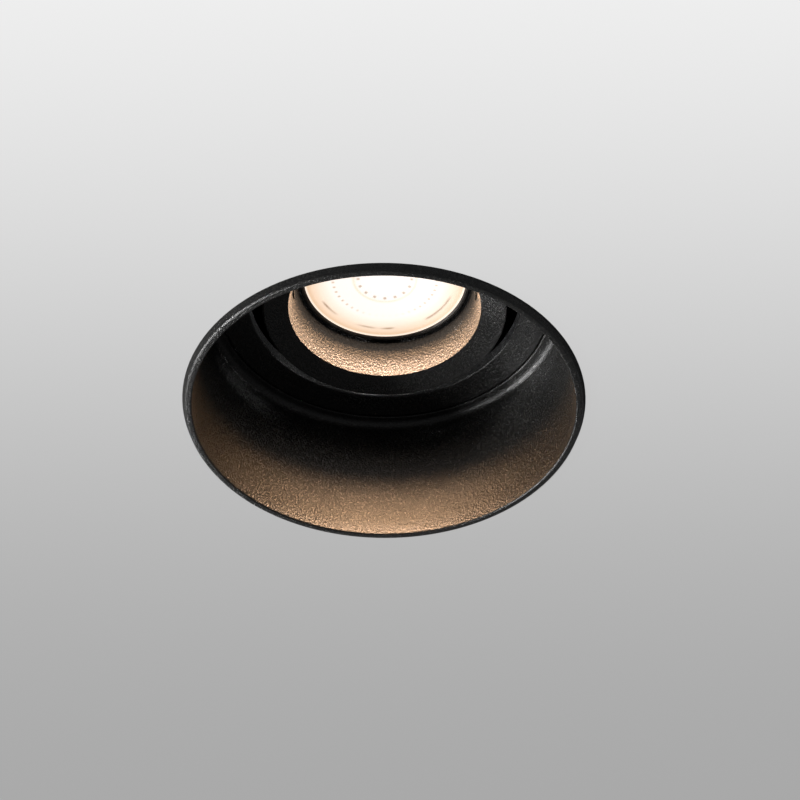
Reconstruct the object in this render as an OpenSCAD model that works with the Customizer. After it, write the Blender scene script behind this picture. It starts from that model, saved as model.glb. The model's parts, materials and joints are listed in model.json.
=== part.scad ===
// Recessed adjustable downlight for a soffit or ceiling.
// The origin is the centre of the ceiling cut-out, in the plane of the ceiling face.
// +Z points up into the ceiling void, and the light shines towards -Z.

/* [Rim and cup] */
// Diameter of the flange where it meets the ceiling
flange_d = 110; // [106:0.5:124]
// Width of the rim beyond the body that passes through the cut-out
rim_w = 1.6; // [1.4:0.1:2.4]
// Distance that the rim stands below the ceiling
rim_drop = 2.2; // [1.6:0.1:5]
// How much the outside of the rim narrows towards its edge
rim_taper = 0.6; // [0.2:0.1:0.9]
// Rounding of the outer edge of the rim
rim_round = 0.8; // [0.3:0.1:0.9]
// Rounding of the inner edge of the rim
mouth_round = 0.5; // [0.2:0.1:0.7]
// Wall thickness of the cup at the mouth
cup_wall = 1.1; // [0.9:0.1:1.5]
// Draft of the inside of the cup over its depth
cup_draft = 0.6; // [0.2:0.1:1]
// Radius of the fillet between the cup and its shelf
cup_fillet = 2.2; // [1:0.1:3]

/* [Shelf] */
// Height of the shelf face above the ceiling plane
shelf_z = 40; // [34:0.5:55]
// Thickness of the shelf
shelf_t = 2.4; // [2.2:0.1:4]
// Distance from the outside of the body to the hole in the shelf
shelf_w = 5.3; // [5.1:0.1:5.6]
// Rounding of the edge of the shelf hole
shelf_edge = 0.3; // [0.1:0.1:0.5]
// Chamfer around the top of the cup
top_chamfer = 0.5; // [0.2:0.1:1]
// Depth of the groove in the shelf hole that the pan stop runs in
stop_groove = 0.7; // [0.4:0.1:0.9]
// Diameter of the casting dimples in the shelf face
dimple_d = 1; // [0.6:0.1:1.4]
// Depth of the casting dimples
dimple_depth = 0.5; // [0.2:0.1:0.8]

/* [Pan ring] */
// Width of the face of the pan ring
pan_w = 8.7; // [8.5:0.1:8.9]
// Distance that the ring face lies behind the shelf face
pan_inset = 0.4; // [0:0.1:0.8]
// Running gap around and above the ring
pan_gap = 0.3; // [0.2:0.05:0.4]
// Gap between the ring flange and the shelf that it lies on
seat_gap = 0.2; // [0.1:0.05:0.3]
// Width of the ring flange that overlaps the shelf
pan_overlap = 1.8; // [1.5:0.1:1.8]
// Thickness of the ring flange
pan_flange_t = 1.2; // [0.8:0.1:1.8]
// Rounding of the inner edge of the ring
pan_edge = 0.4; // [0.1:0.1:0.8]

/* [Ring tabs] */
// Number of retaining tabs
tab_count = 3; // [3:1:3]
// Sheet thickness of a tab
tab_t = 0.8; // [0.5:0.1:1.2]
// Length of the tab foot along the shelf
tab_l = 13; // [11:0.5:16]
// Width of the tab finger over the ring
tab_finger_w = 6; // [4:0.5:7]
// Reach of the tab finger over the ring flange
tab_reach = 2.2; // [1:0.1:2.6]

/* [Tilt pivot] */
// Height of the tilt axis above the ceiling plane
pivot_z = 48.5; // [48.4:0.1:49.2]
// Sheet thickness of the pivot brackets
pivot_sheet = 1.2; // [0.8:0.1:1.3]
// Width of a pivot bracket at its foot
pivot_w = 13; // [11:0.5:14]
// Length of the bracket foot on the ring
pivot_foot = 7; // [6.4:0.1:7]
// Radius of the rounded head of the bracket
pivot_head_r = 4.6; // [3.8:0.1:4.8]
// Diameter of the pivot pin
pivot_pin_d = 4; // [3:0.1:4.4]
// Thickness of the friction washer
washer_t = 0.7; // [0.4:0.1:0.9]

/* [Lamp carrier] */
// Gap between the pan ring and the tilting plate
tilt_gap = 4.2; // [3.9:0.1:4.6]
// Height of the plate face at its outer edge
plate_z = 37; // [36.6:0.1:38]
// Thickness of the plate at its outer edge
plate_t = 2; // [1.4:0.1:2.6]
// Height by which the plate is dished towards the aperture
plate_dish = 1.3; // [0.6:0.1:1.8]
// Width of the plate around the aperture
plate_w = 7.3; // [6.8:0.1:7.9]
// Gap between the lamp and its sleeve
sleeve_gap = 0.5; // [0.3:0.1:1]
// Wall thickness of the sleeve and snoot
sleeve_wall = 1.8; // [1.4:0.1:2]
// Height of the top of the sleeve
sleeve_top_z = 60; // [58.6:0.1:62]
// Width of the pads for the strap
pad_w = 12; // [11:0.5:14]

/* [Lamp] */
// Diameter of the lamp at its front ring
lamp_d = 50; // [49.4:0.1:50.2]
// Height of the front of the lamp above the ceiling plane
lamp_z = 50; // [49.4:0.1:50.6]
// Height of the lamp from its front to the end of its base
lamp_h = 47.6; // [46:0.1:50]
// Height of the front ring
bezel_h = 2; // [1.4:0.1:3]
// Width of the front ring seen from the front
bezel_w = 1.4; // [1:0.1:2]
// Diameter of the lamp base
lamp_base_d = 19; // [17:0.5:20]
// Number of cooling ribs on the lamp
lamp_ribs = 16; // [8:1:20]
// Depth of the grooves between the ribs
lamp_groove = 1.2; // [0.6:0.1:1.6]

/* [Lampholder] */
// Diameter of the lampholder
holder_d = 28; // [27:0.5:30]
// Height of the lampholder
holder_h = 14; // [13:0.5:18]
// Distance between the two contact pins
pin_pitch = 10; // [9.6:0.1:10.4]
// Diameter of a pin shank
pin_shank_d = 3; // [2.4:0.1:3.2]
// Diameter of a pin head
pin_head_d = 5; // [4.4:0.1:5.1]
// Clearance around the pins in their key slots
key_gap = 0.3; // [0.2:0.05:0.4]
// Angle that the lamp turns between locked and free
key_turn = 30; // [20:1:36]
// Distance of the lampholder screws from the axis
holder_screw_y = 8.6; // [8.4:0.1:9]
// Width of the strap
strap_w = 10; // [9:0.5:11]
// Sheet thickness of the strap
strap_t = 1; // [0.8:0.1:1.5]

/* [Terminal box] */
// Length of the terminal tray along the tilt axis
tray_x = 30; // [28:0.5:36]
// Width of the terminal tray across the tilt axis
tray_y = 28; // [27:0.5:34]
// Height of the terminal tray
tray_h = 13.4; // [13:0.1:18]
// Wall thickness of the tray and its lid
tray_wall = 1.4; // [1:0.1:1.6]
// Diameter of the cable that the grommet takes
cable_d = 6.4; // [5:0.1:6.6]
// Wall thickness of the grommet
grommet_wall = 0.8; // [0.5:0.1:0.9]
// Diameter of the lid hinge pin
lid_pin_d = 1.6; // [1.2:0.1:2]

/* [Ceiling clips] */
// Sheet thickness of the clip brackets
clip_sheet = 1.2; // [0.8:0.1:1.4]
// Distance of the clip axis from the outside of the body
clip_inset = 6.4; // [6.2:0.1:6.6]
// Height of the clip axis above the top of the shelf
clip_rise = 8.1; // [8:0.1:10]
// Diameter of the spring wire
wire_d = 1.6; // [1.2:0.1:1.7]
// Mean radius of the spring coils
coil_r = 2.9; // [2.7:0.1:3]
// Gap between neighbouring turns of a coil
coil_gap = 0.6; // [0.56:0.01:0.7]
// Full turns in each coil
coil_turns = 2; // [1:1:2]
// Half the width of the wire bail
bail_half_w = 8; // [7.6:0.1:8.2]
// Length of the wire bail from the coils to its tip
bail_l = 60; // [40:1:70]
// Angle of the bail below the horizontal when the clip is at its stop
bail_angle = 50; // [45:1:52]
// Length of the short legs of the spring
leg_l = 2.6; // [1.5:0.1:2.8]

/* [Fasteners] */
// Shank diameter of the small screws in the shelf and the ring
small_screw_d = 2; // [1.6:0.1:2.2]
// Head diameter of the small screws
small_head_d = 3.2; // [2.6:0.1:3.3]
// Head height of the small screws
small_head_h = 1.2; // [0.8:0.1:1.3]
// Shank diameter of the large screws in the strap
screw_d = 3; // [2.6:0.1:3.2]
// Head diameter of the large screws
head_d = 5.4; // [4.8:0.1:5.6]
// Head height of the large screws
head_h = 1.8; // [1.4:0.1:2]
// Clearance around shanks in their holes
fit_gap = 0.05; // [0.03:0.01:0.09]

/* [Hidden] */
$fn = 96;

// Small overlap that joins two solids of one piece
eps = 0.01;
// Number of straight steps in a rounded edge
edge_steps = 6;
// Gap between pieces that only touch at rest
touch_gap = 0.3;
// Material left between a screw head and the edge of its piece
screw_edge = 0.6;
// Floor left under a blind screw hole, and under the screw in it
blind_floor = 0.5;
screw_end_gap = 0.2;

// Colours of the finishes
black_coat = "#1c1c1d";
steel = "#9fa3a8";
zinc = "#c4c7ca";
ceramic = "#e8e4d8";
white_plastic = "#f1f0ea";
brass = "#c9a24a";
rubber = "#26272a";
aluminium = "#b9bcc0";
warm_glass = "#ffe9c4";

// Cup and shelf
flange_r = flange_d / 2;
body_r = flange_r - rim_w;
mouth_r = body_r - cup_wall;
cup_top_r = mouth_r - cup_draft;
shelf_hole_r = body_r - shelf_w;
shelf_top_z = shelf_z + shelf_t;
stop_groove_r = shelf_hole_r + stop_groove;
stop_groove_z = shelf_top_z - shelf_t / 2;
stop_angle = 3;
dimple_count = 6;
dimple_first = 52;
dimple_in = 1.5;
dimple_r = shelf_hole_r + dimple_in;

// Pan ring
pan_r = shelf_hole_r - pan_gap;
pan_hole_r = pan_r - pan_w;
pan_z = shelf_z + pan_inset;
pan_flange_z = shelf_top_z + seat_gap;
pan_top_z = pan_flange_z + pan_flange_t;
pan_flange_r = shelf_hole_r + pan_overlap;

// Tabs and screws on the shelf
rim_screw_r = (pan_flange_r + touch_gap + body_r) / 2;
tab_first_angle = 90;
tab_inner_r = pan_flange_r + touch_gap;
sheet_set_in = 0.1;
tab_outer_r = body_r - sheet_set_in;
tab_finger_z = pan_top_z + touch_gap;
tab_screw_y = tab_l / 2 - small_head_d / 2 - screw_edge;
tab_screw_a = asin(tab_screw_y / rim_screw_r);
small_screw_depth = shelf_t - blind_floor;

// Tilt pivot
plate_r = pan_hole_r - tilt_gap;
pivot_set_back = 0.1;
pivot_x = pan_hole_r + pivot_set_back;
pivot_foot_end = pivot_x + pivot_foot;
pivot_pin_r = pivot_pin_d / 2;
pivot_play = 0.1;
washer_in = 0.4;
boss_r = 4.4;
boss_end = pivot_x - washer_t - 2 * pivot_play;
pivot_pin_in = 7;
pivot_pin_root = boss_end - pivot_pin_in;
pivot_pin_head_over = 1.2;
pivot_pin_head_r = pivot_pin_r + pivot_pin_head_over;
pivot_pin_head_t = 1.2;
pivot_screw_back = 3.2;
pivot_screw_x = pivot_x + pivot_sheet + pivot_screw_back;
pivot_screw_y = pivot_w / 2 - small_head_d / 2 - screw_edge - pivot_set_back;

// Lamp carrier
aperture_r = plate_r - plate_w;
aperture_z = plate_z + plate_dish;
sleeve_r = lamp_d / 2 + sleeve_gap;
sleeve_outer_r = sleeve_r + sleeve_wall;
snoot_top_z = lamp_z - 0.6;
plate_round = 0.5;
snoot_foot_w = 1.2;
snoot_foot_h = 1;
boss_root_x = sleeve_r + 0.6;
vent_w = 7;
vent_h = 5;
vent_spread = 14;
pad_out = 0.8;
pad_root = 0.5;
pad_h = 9;
pad_y = sleeve_outer_r + pad_out;
pad_z = sleeve_top_z - pad_h;
strap_screw_z = sleeve_top_z - pad_h / 2;
strap_screw_l = pad_y - sleeve_r - pad_root;

// Lamp
lamp_r = lamp_d / 2;
lamp_end_z = lamp_z + lamp_h;
lamp_base_r = lamp_base_d / 2;
lamp_base_h = 9;
lamp_neck_r = lamp_base_r + 3.5;
lamp_body_z = lamp_z + bezel_h;
lamp_neck_z = lamp_end_z - lamp_base_h;
lens_set_back = 0.7;
lens_z = lamp_z + lens_set_back;
lens_t = 1.6;
lens_edge_in = 0.5;
lens_r = lamp_r - bezel_w + lens_edge_in;
lens_gap = 0.1;
lamp_wall = 1.8;
module_gap = 0.6;
module_z = lens_z + lens_t + module_gap;
module_t = 1;
module_r = lamp_r - lamp_wall - 0.4;
chip_count = 8;
chip_at_r = 7.6;
chip_r = 1;
chip_h = 0.5;
shoulder_z = lamp_body_z + 4;
flank_in = 6;
flank_r = lamp_r - lamp_neck_r + flank_in;
flank_c = [lamp_neck_r - flank_in, shoulder_z];
flank_first = 10;
flank_last = 60;
groove_first = 16;
groove_w = 2;
groove_end_z = lamp_neck_z - 4;
neck_taper_z = lamp_neck_z - 3;
cone_low_h = 6;
cone_high_h = 14;
cone_z = lamp_body_z + cone_low_h;
cone_top_r = 10;
cone_top_z = lamp_body_z + cone_high_h;
pin_r = pin_shank_d / 2;
pin_head_r = pin_head_d / 2;
pin_shank_l = 4;
pin_head_l = 2.6;
pin_x = pin_pitch / 2;

// Lampholder
holder_gap = 0.4;
holder_r = holder_d / 2;
holder_z = lamp_end_z + holder_gap;
holder_skin = 2.4;
holder_top_z = holder_z + holder_h;
cavity_z = holder_z + holder_skin;
cavity_h = lamp_end_z + pin_shank_l + pin_head_l + 1.4 - cavity_z;
contact_z = lamp_end_z + pin_shank_l + pin_head_l + touch_gap;
contact_t = 0.6;
contact_w = 3;
contact_x = pin_x + 3.4;
contact_h = 16;
contact_side = 0.6;
contact_toe = 1.6;
holder_screw_r = screw_d / 2;
holder_head_sink = 3;

// Strap
strap_y = pad_y;
strap_plate_z = holder_top_z;
strap_top_z = strap_plate_z + strap_t;
strap_foot_z = pad_z + 1;
earth_drop = 5;
contact_slot_w = 2.8;
contact_slot_side = 0.6;
strap_straight = 26;
strap_straight_z = lamp_z + strap_straight;
strap_neck_z = holder_z - 2;
strap_neck_y = holder_r + 3;
strap_plate_w = 18;

// Terminal box
tray_floor_z = strap_top_z;
tray_top_z = tray_floor_z + tray_h;
tray_in_z = tray_floor_z + tray_wall;
nut_r = 2.9;
nut_h = 2.2;
block_x = 22;
block_y = 8;
block_h = 8;
block_pitch = 7;
terminal_bore_r = 1.5;
terminal_bore_z = tray_in_z + 3;
terminal_screw_r = 1.2;
terminal_screw_h = 3.4;
terminal_slot = 0.4;
cable_r = cable_d / 2;
grommet_hole_r = cable_r + grommet_wall;
grommet_flange_r = grommet_hole_r + 0.8;
grommet_flange_t = 1;
inlet_z = tray_in_z + grommet_flange_r + 0.4;
inlet_boss_r = grommet_flange_r + 1;
inlet_boss_l = 1;
lid_t = 1.4;
lid_gap = 0.1;
lid_pin_r = lid_pin_d / 2;
knuckle_r = lid_pin_r + 1;
knuckle_x = -(tray_x / 2 + knuckle_r + 0.2);
knuckle_z = tray_top_z - knuckle_r + 0.4;
knuckle_l = 8;
latch_w = 8;
latch_drop = 5;
latch_t = 1.2;
grip_count = 2;
grip_pitch = 1.6;
grip_back = 3;
grip_h = 0.5;
tray_corner = 2.4;

// Clips
wire_r = wire_d / 2;
clip_x = body_r - clip_inset;
clip_z = shelf_top_z + clip_rise;
clip_pin_r = coil_r - wire_r - touch_gap;
clip_pin_head_r = clip_pin_r + 0.9;
clip_pin_head_t = 1;
ear_in_y = bail_half_w + wire_r + 0.8;
ear_out_y = ear_in_y + clip_sheet;
ear_r = clip_pin_r + 1.5;
clip_base_t = 1;
clip_base_in_r = pan_flange_r + touch_gap;
clip_base_out_r = body_r - sheet_set_in;
clip_screw_y = ear_out_y + small_head_d / 2 + 0.9;
clip_base_half_y = clip_screw_y + small_head_d / 2 + 0.6;
clip_screw_a = asin(clip_screw_y / rim_screw_r);
ear_foot_back = sqrt(pow(clip_base_in_r, 2) - pow(ear_in_y, 2)) + 0.1;
ear_foot_front = sqrt(pow(clip_base_out_r, 2) - pow(ear_out_y, 2)) - 0.1;
stop_reach = 5;
stop_t = 1.2;
stop_w = 3;
coil_pitch = wire_d + coil_gap;
coil_start = 90 - bail_angle;
coil_end = 190 + 360 * coil_turns;
coil_span = (coil_end - coil_start) / 360 * coil_pitch;
wire_sides = 6;
turn_rings = 12;

// Points of an arc about centre c with radius r, from angle a0 to angle a1
function arc(c, r, a0, a1, n = edge_steps) =
    [for (i = [0:n]) let (a = a0 + (a1 - a0) * i / n) [c[0] + r * cos(a), c[1] + r * sin(a)]];

// Vector v at length one
function unit(v) = v / norm(v);

// Direction of a path at each of its points
function directions(p) =
    [for (i = [0:len(p) - 1]) unit(p[min(i + 1, len(p) - 1)] - p[max(i - 1, 0)])];

// Normals that follow a path without twisting about it
function normals(t, n0) =
    [for (i = 0, n = unit(n0 - (n0 * t[0]) * t[0]);
        i < len(t);
        i = i + 1, n = i < len(t) ? unit(n - (n * t[i]) * t[i]) : n) n];

// Least distance between points of a path that are more than skip places apart
function least_distance(p, skip) =
    min([for (i = [0:len(p) - 1], j = [i + skip + 1:1:len(p) - 1]) norm(p[i] - p[j])]);

// Round tube along a path, closed at both ends
module tube(p, r, sides, n0) {
    t = directions(p);
    n = normals(t, n0);
    count = len(p);
    points = [
        for (i = [0:count - 1], k = [0:sides - 1])
            let (a = 360 * k / sides) p[i] + r * (cos(a) * n[i] + sin(a) * cross(t[i], n[i]))
    ];
    walls = [
        for (i = [0:count - 2], k = [0:sides - 1])
            let (a = i * sides + k, b = i * sides + (k + 1) % sides)
                each [[a, a + sides, b], [b, a + sides, b + sides]]
    ];
    first = [for (k = [1:sides - 2]) [0, k, k + 1]];
    top = (count - 1) * sides;
    last = [for (k = [1:sides - 2]) [top, top + k + 1, top + k]];
    polyhedron(points, concat(walls, first, last));
}

// Copies at +X and, turned half round, at -X
module both_sides() {
    children();
    rotate([0, 0, 180]) children();
}

// Sector of a ring between two radii and two heights, centred on an angle
module ring_sector(r0, r1, z0, z1, at, width) {
    reach = 2 * r1;
    intersection() {
        difference() {
            translate([0, 0, z0]) cylinder(h = z1 - z0, r = r1);
            translate([0, 0, z0 - eps]) cylinder(h = z1 - z0 + 2 * eps, r = r0);
        }
        translate([0, 0, z0])
            linear_extrude(z1 - z0)
                polygon([
                    [0, 0],
                    [reach * cos(at - width / 2), reach * sin(at - width / 2)],
                    [reach * cos(at + width / 2), reach * sin(at + width / 2)]
                ]);
    }
}

// Outline of a rectangle about the origin with rounded corners
function rounded_box(w, l, r) = concat(
    arc([w / 2 - r, l / 2 - r], r, 0, 90, 4),
    arc([r - w / 2, l / 2 - r], r, 90, 180, 4),
    arc([r - w / 2, r - l / 2], r, 180, 270, 4),
    arc([w / 2 - r, r - l / 2], r, 270, 360, 4)
);

// Screw with a low round head, head up, with the underside of its head at z = 0
module round_screw(d, l, hd, hh) {
    translate([0, 0, -l]) cylinder(h = l + eps, r = d / 2);
    difference() {
        rotate_extrude()
            polygon(concat(
                [[0, 0], [hd / 2, 0]],
                [for (a = [0:30:90]) [(hd / 2 - hh / 2) + hh / 2 * cos(a), hh / 2 + hh / 2 * sin(a)]],
                [[0, hh]]
            ));
        cross_recess(hd, hh);
    }
}

// Cross recess in the head of a screw
module cross_recess(hd, hh) {
    slot_l = hd * 0.56;
    slot_w = hd * 0.14;
    for (a = [0, 90])
        rotate([0, 0, a])
            translate([-slot_l / 2, -slot_w / 2, hh * 0.45])
                cube([slot_l, slot_w, hh]);
}

// Cup of the housing with its rim and shelf
module cup_body() {
    outer_c = [flange_r - rim_taper - rim_round, rim_round - rim_drop];
    inner_c = [mouth_r + mouth_round, mouth_round - rim_drop];
    fillet_c = [cup_top_r - cup_fillet, shelf_z - cup_fillet];
    rotate_extrude($fn = 180)
        polygon(concat(
            [[body_r, 0], [flange_r, 0]],
            arc(outer_c, rim_round, 0, -90),
            arc(inner_c, mouth_round, 270, 180),
            arc(fillet_c, cup_fillet, 0, 90),
            arc([shelf_hole_r + shelf_edge, shelf_z + shelf_edge], shelf_edge, 270, 180, 3),
            [
                [shelf_hole_r, stop_groove_z],
                [stop_groove_r, stop_groove_z],
                [stop_groove_r, shelf_top_z],
                [body_r - top_chamfer, shelf_top_z],
                [body_r, shelf_top_z - top_chamfer]
            ]
        ));
}

// Holes in the top of the shelf for every screw that stands in it
module shelf_screw_holes() {
    for (i = [0:tab_count - 1])
        rotate([0, 0, tab_first_angle + i * 360 / tab_count + tab_screw_a])
            translate([rim_screw_r, 0, shelf_top_z - small_screw_depth])
                cylinder(h = shelf_t, r = small_screw_d / 2 + fit_gap);
    both_sides()
        for (s = [-1, 1])
            rotate([0, 0, s * clip_screw_a])
                translate([rim_screw_r, 0, shelf_top_z - small_screw_depth])
                    cylinder(h = shelf_t, r = small_screw_d / 2 + fit_gap);
}

// Cast housing
module housing() {
    color(black_coat) {
        difference() {
            cup_body();
            shelf_screw_holes();
            for (i = [0:dimple_count - 1])
                rotate([0, 0, dimple_first + i * 360 / dimple_count])
                    translate([dimple_r, 0, shelf_z - eps])
                        cylinder(h = dimple_depth + eps, r = dimple_d / 2, $fn = 24);
        }
        ring_sector(shelf_hole_r, stop_groove_r + eps, stop_groove_z - eps, shelf_top_z, 90, stop_angle);
    }
}

// Ring that turns in the shelf
module pan_ring() {
    tooth_z = stop_groove_z + touch_gap / 2;
    color(black_coat)
        difference() {
            union() {
                rotate_extrude($fn = 180)
                    polygon(concat(
                        arc([pan_hole_r + pan_edge, pan_z + pan_edge], pan_edge, 180, 270, 4),
                        arc([pan_r - pan_edge, pan_z + pan_edge], pan_edge, 270, 360, 4),
                        [
                            [pan_r, pan_flange_z],
                            [pan_flange_r, pan_flange_z],
                            [pan_flange_r, pan_top_z],
                            [pan_hole_r, pan_top_z]
                        ]
                    ));
                ring_sector(pan_r - eps, stop_groove_r - touch_gap, tooth_z, pan_flange_z + eps, 270, stop_angle);
            }
            both_sides()
                for (s = [-1, 1])
                    translate([pivot_screw_x, s * pivot_screw_y, pan_top_z - small_screw_depth])
                        cylinder(h = shelf_t, r = small_screw_d / 2 + fit_gap);
        }
}

// Sheet tab that holds the pan ring down
module retaining_tab(index) {
    finger_in = pan_flange_r - tab_reach;
    riser_out = tab_inner_r + tab_t;
    color(zinc)
        rotate([0, 0, tab_first_angle + index * 360 / tab_count])
            difference() {
                union() {
                    intersection() {
                        difference() {
                            translate([0, 0, shelf_top_z]) cylinder(h = tab_t, r = tab_outer_r);
                            translate([0, 0, shelf_top_z - eps])
                                cylinder(h = tab_t + 2 * eps, r = tab_inner_r);
                        }
                        translate([tab_inner_r / 2, -tab_l / 2, shelf_top_z - eps])
                            cube([tab_outer_r, tab_l, tab_t + 2 * eps]);
                    }
                    translate([0, tab_finger_w - tab_l / 2, 0])
                        rotate([90, 0, 0])
                            linear_extrude(tab_finger_w)
                                polygon([
                                    [tab_inner_r, shelf_top_z],
                                    [riser_out, shelf_top_z],
                                    [riser_out, tab_finger_z + tab_t],
                                    [finger_in, tab_finger_z + tab_t],
                                    [finger_in, tab_finger_z],
                                    [tab_inner_r, tab_finger_z]
                                ]);
                }
                rotate([0, 0, tab_screw_a])
                    translate([rim_screw_r, 0, shelf_top_z - eps])
                        cylinder(h = tab_t + 2 * eps, r = small_screw_d / 2 + fit_gap);
            }
}

// Screws of the retaining tabs
module tab_screws() {
    color(steel)
        for (i = [0:tab_count - 1])
            rotate([0, 0, tab_first_angle + i * 360 / tab_count + tab_screw_a])
                translate([rim_screw_r, 0, shelf_top_z + tab_t])
                    round_screw(small_screw_d, tab_t + small_screw_depth - screw_end_gap, small_head_d, small_head_h);
}

// Sheet bracket that carries one tilt pivot, at +X
module pivot_bracket() {
    color(zinc)
        difference() {
            union() {
                translate([pivot_x, 0, 0])
                    rotate([90, 0, 90])
                        linear_extrude(pivot_sheet)
                            polygon(concat(
                                [[-pivot_w / 2, pan_top_z], [pivot_w / 2, pan_top_z]],
                                arc([0, pivot_z], pivot_head_r, 0, 180, 16)
                            ));
                translate([pivot_x, -pivot_w / 2, pan_top_z])
                    cube([pivot_foot, pivot_w, pivot_sheet]);
            }
            translate([pivot_x - eps, 0, pivot_z])
                rotate([0, 90, 0])
                    cylinder(h = pivot_sheet + 2 * eps, r = pivot_pin_r + fit_gap);
            for (s = [-1, 1])
                translate([pivot_screw_x, s * pivot_screw_y, pan_top_z - eps])
                    cylinder(h = pivot_sheet + 2 * eps, r = small_screw_d / 2 + fit_gap);
        }
}

// Screws that fix the pivot brackets to the pan ring
module pivot_bracket_screws() {
    color(steel)
        both_sides()
            for (s = [-1, 1])
                translate([pivot_screw_x, s * pivot_screw_y, pan_top_z + pivot_sheet])
                    round_screw(
                        small_screw_d, pivot_sheet + small_screw_depth - screw_end_gap, small_head_d, small_head_h
                    );
}

// Pin on which the lamp carrier tilts, at +X
module pivot_pin() {
    head_x = pivot_x + pivot_sheet + pivot_play;
    color(steel)
        rotate([0, 90, 0]) {
            translate([-pivot_z, 0, pivot_pin_root]) cylinder(h = head_x - pivot_pin_root + eps, r = pivot_pin_r);
            translate([-pivot_z, 0, head_x])
                difference() {
                    cylinder(h = pivot_pin_head_t, r = pivot_pin_head_r);
                    cross_recess(2 * pivot_pin_head_r, pivot_pin_head_t);
                }
        }
}

// Friction washer between the carrier boss and the bracket, at +X
module pivot_washer() {
    color(steel)
        translate([boss_end + pivot_play, 0, pivot_z])
            rotate([0, 90, 0])
                difference() {
                    cylinder(h = washer_t, r = pivot_head_r - washer_in);
                    translate([0, 0, -eps]) cylinder(h = washer_t + 2 * eps, r = pivot_pin_r + fit_gap);
                }
}

// Tilting plate with its aperture, snoot and lamp sleeve
module lamp_carrier() {
    snoot_foot_r = aperture_r + sleeve_wall;
    plate_back_z = plate_z + plate_t;
    color(black_coat)
        difference() {
            union() {
                rotate_extrude($fn = 144)
                    polygon(concat(
                        [[aperture_r, aperture_z]],
                        arc([plate_r - plate_round, plate_z + plate_round], plate_round, 280, 360, 4),
                        [
                            [plate_r, plate_back_z],
                            [snoot_foot_r + snoot_foot_w, plate_back_z + plate_dish],
                            [snoot_foot_r, plate_back_z + plate_dish + snoot_foot_h],
                            [sleeve_outer_r, snoot_top_z],
                            [sleeve_outer_r, sleeve_top_z],
                            [sleeve_r, sleeve_top_z],
                            [sleeve_r, snoot_top_z]
                        ]
                    ));
                both_sides()
                    translate([boss_root_x, 0, pivot_z])
                        rotate([0, 90, 0])
                            cylinder(h = boss_end - boss_root_x, r = boss_r);
                for (s = [0, 180])
                    rotate([0, 0, s])
                        translate([-pad_w / 2, sleeve_r + pad_root, pad_z])
                            cube([pad_w, pad_y - sleeve_r - pad_root, pad_h]);
            }
            translate([0, 0, snoot_top_z]) cylinder(h = sleeve_top_z, r = sleeve_r);
            for (q = [0:3], s = [-1, 1])
                rotate([0, 0, 45 + 90 * q + s * vent_spread])
                    translate([sleeve_r - vent_w / 2, -vent_w / 2, sleeve_top_z - vent_h])
                        cube([vent_w, vent_w, 2 * vent_h]);
            both_sides()
                translate([pivot_pin_root - screw_end_gap, 0, pivot_z])
                    rotate([0, 90, 0])
                        cylinder(h = boss_end, r = pivot_pin_r + fit_gap);
            for (s = [0, 180])
                rotate([0, 0, s])
                    translate([0, pad_y - strap_screw_l, strap_screw_z])
                        rotate([-90, 0, 0])
                            cylinder(h = 2 * strap_screw_l, r = screw_d / 2 + fit_gap);
        }
}

// Outline of one leg of the strap, seen along the tilt axis, at distance off from its inner face
function strap_leg(off) = [
    [strap_y + off, strap_foot_z],
    [strap_y + off, strap_straight_z],
    [strap_neck_y + off, strap_neck_z],
    [strap_neck_y + off, strap_plate_z + off]
];

// Bent strap from the sleeve pads to the lampholder
module lampholder_strap() {
    leg_out = strap_leg(strap_t);
    leg_in = strap_leg(0);
    color(zinc)
        difference() {
            union() {
                translate([-strap_w / 2, 0, 0])
                    rotate([90, 0, 90])
                        linear_extrude(strap_w)
                            polygon(concat(
                                leg_out,
                                [for (i = [3:-1:0]) [-leg_out[i][0], leg_out[i][1]]],
                                [for (i = [0:3]) [-leg_in[i][0], leg_in[i][1]]],
                                [for (i = [3:-1:0]) leg_in[i]]
                            ));
                translate([-strap_plate_w / 2, -strap_neck_y, strap_plate_z])
                    cube([strap_plate_w, 2 * strap_neck_y, strap_t]);
            }
            for (s = [-1, 1])
                translate([0, s * holder_screw_y, strap_plate_z - eps])
                    cylinder(h = strap_t + 2 * eps, r = holder_screw_r + fit_gap);
            for (s = [-1, 1])
                translate([s * contact_x, 0, strap_plate_z + strap_t / 2])
                    cube([contact_slot_w, contact_w + 2 * contact_slot_side, strap_t + 2 * eps], center = true);
            for (s = [0, 180])
                rotate([0, 0, s])
                    translate([0, strap_y - eps, strap_screw_z])
                        rotate([-90, 0, 0])
                            cylinder(h = strap_t + 2 * eps, r = screw_d / 2 + fit_gap);
            translate([0, strap_neck_y - eps, strap_plate_z - earth_drop])
                rotate([-90, 0, 0])
                    cylinder(h = strap_t + 2 * eps, r = screw_d / 2 + fit_gap);
        }
}

// Screws that fix the strap to the sleeve
module strap_screws() {
    color(steel)
        for (s = [0, 180])
            rotate([0, 0, s])
                translate([0, strap_y + strap_t, strap_screw_z])
                    rotate([-90, 0, 0])
                        round_screw(screw_d, strap_t + strap_screw_l - screw_end_gap, head_d, head_h);
}

// Earth screw on the neck of the strap
module earth_screw() {
    color(brass)
        translate([0, strap_neck_y + strap_t, strap_plate_z - earth_drop])
            rotate([-90, 0, 0])
                round_screw(screw_d, 2 * strap_t, head_d, head_h);
}

// Curved slot that a pin follows as the lamp turns, around the pin at angle zero
module key_slot(r, z, h) {
    over = 2;
    inset = 0.04;
    ring_sector(pin_x - r + inset, pin_x + r - inset, z, z + h, (over - key_turn) / 2, key_turn + over);
    for (a = [over, -key_turn])
        rotate([0, 0, a])
            translate([pin_x, 0, z]) cylinder(h = h, r = r, $fn = 48);
}

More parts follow.
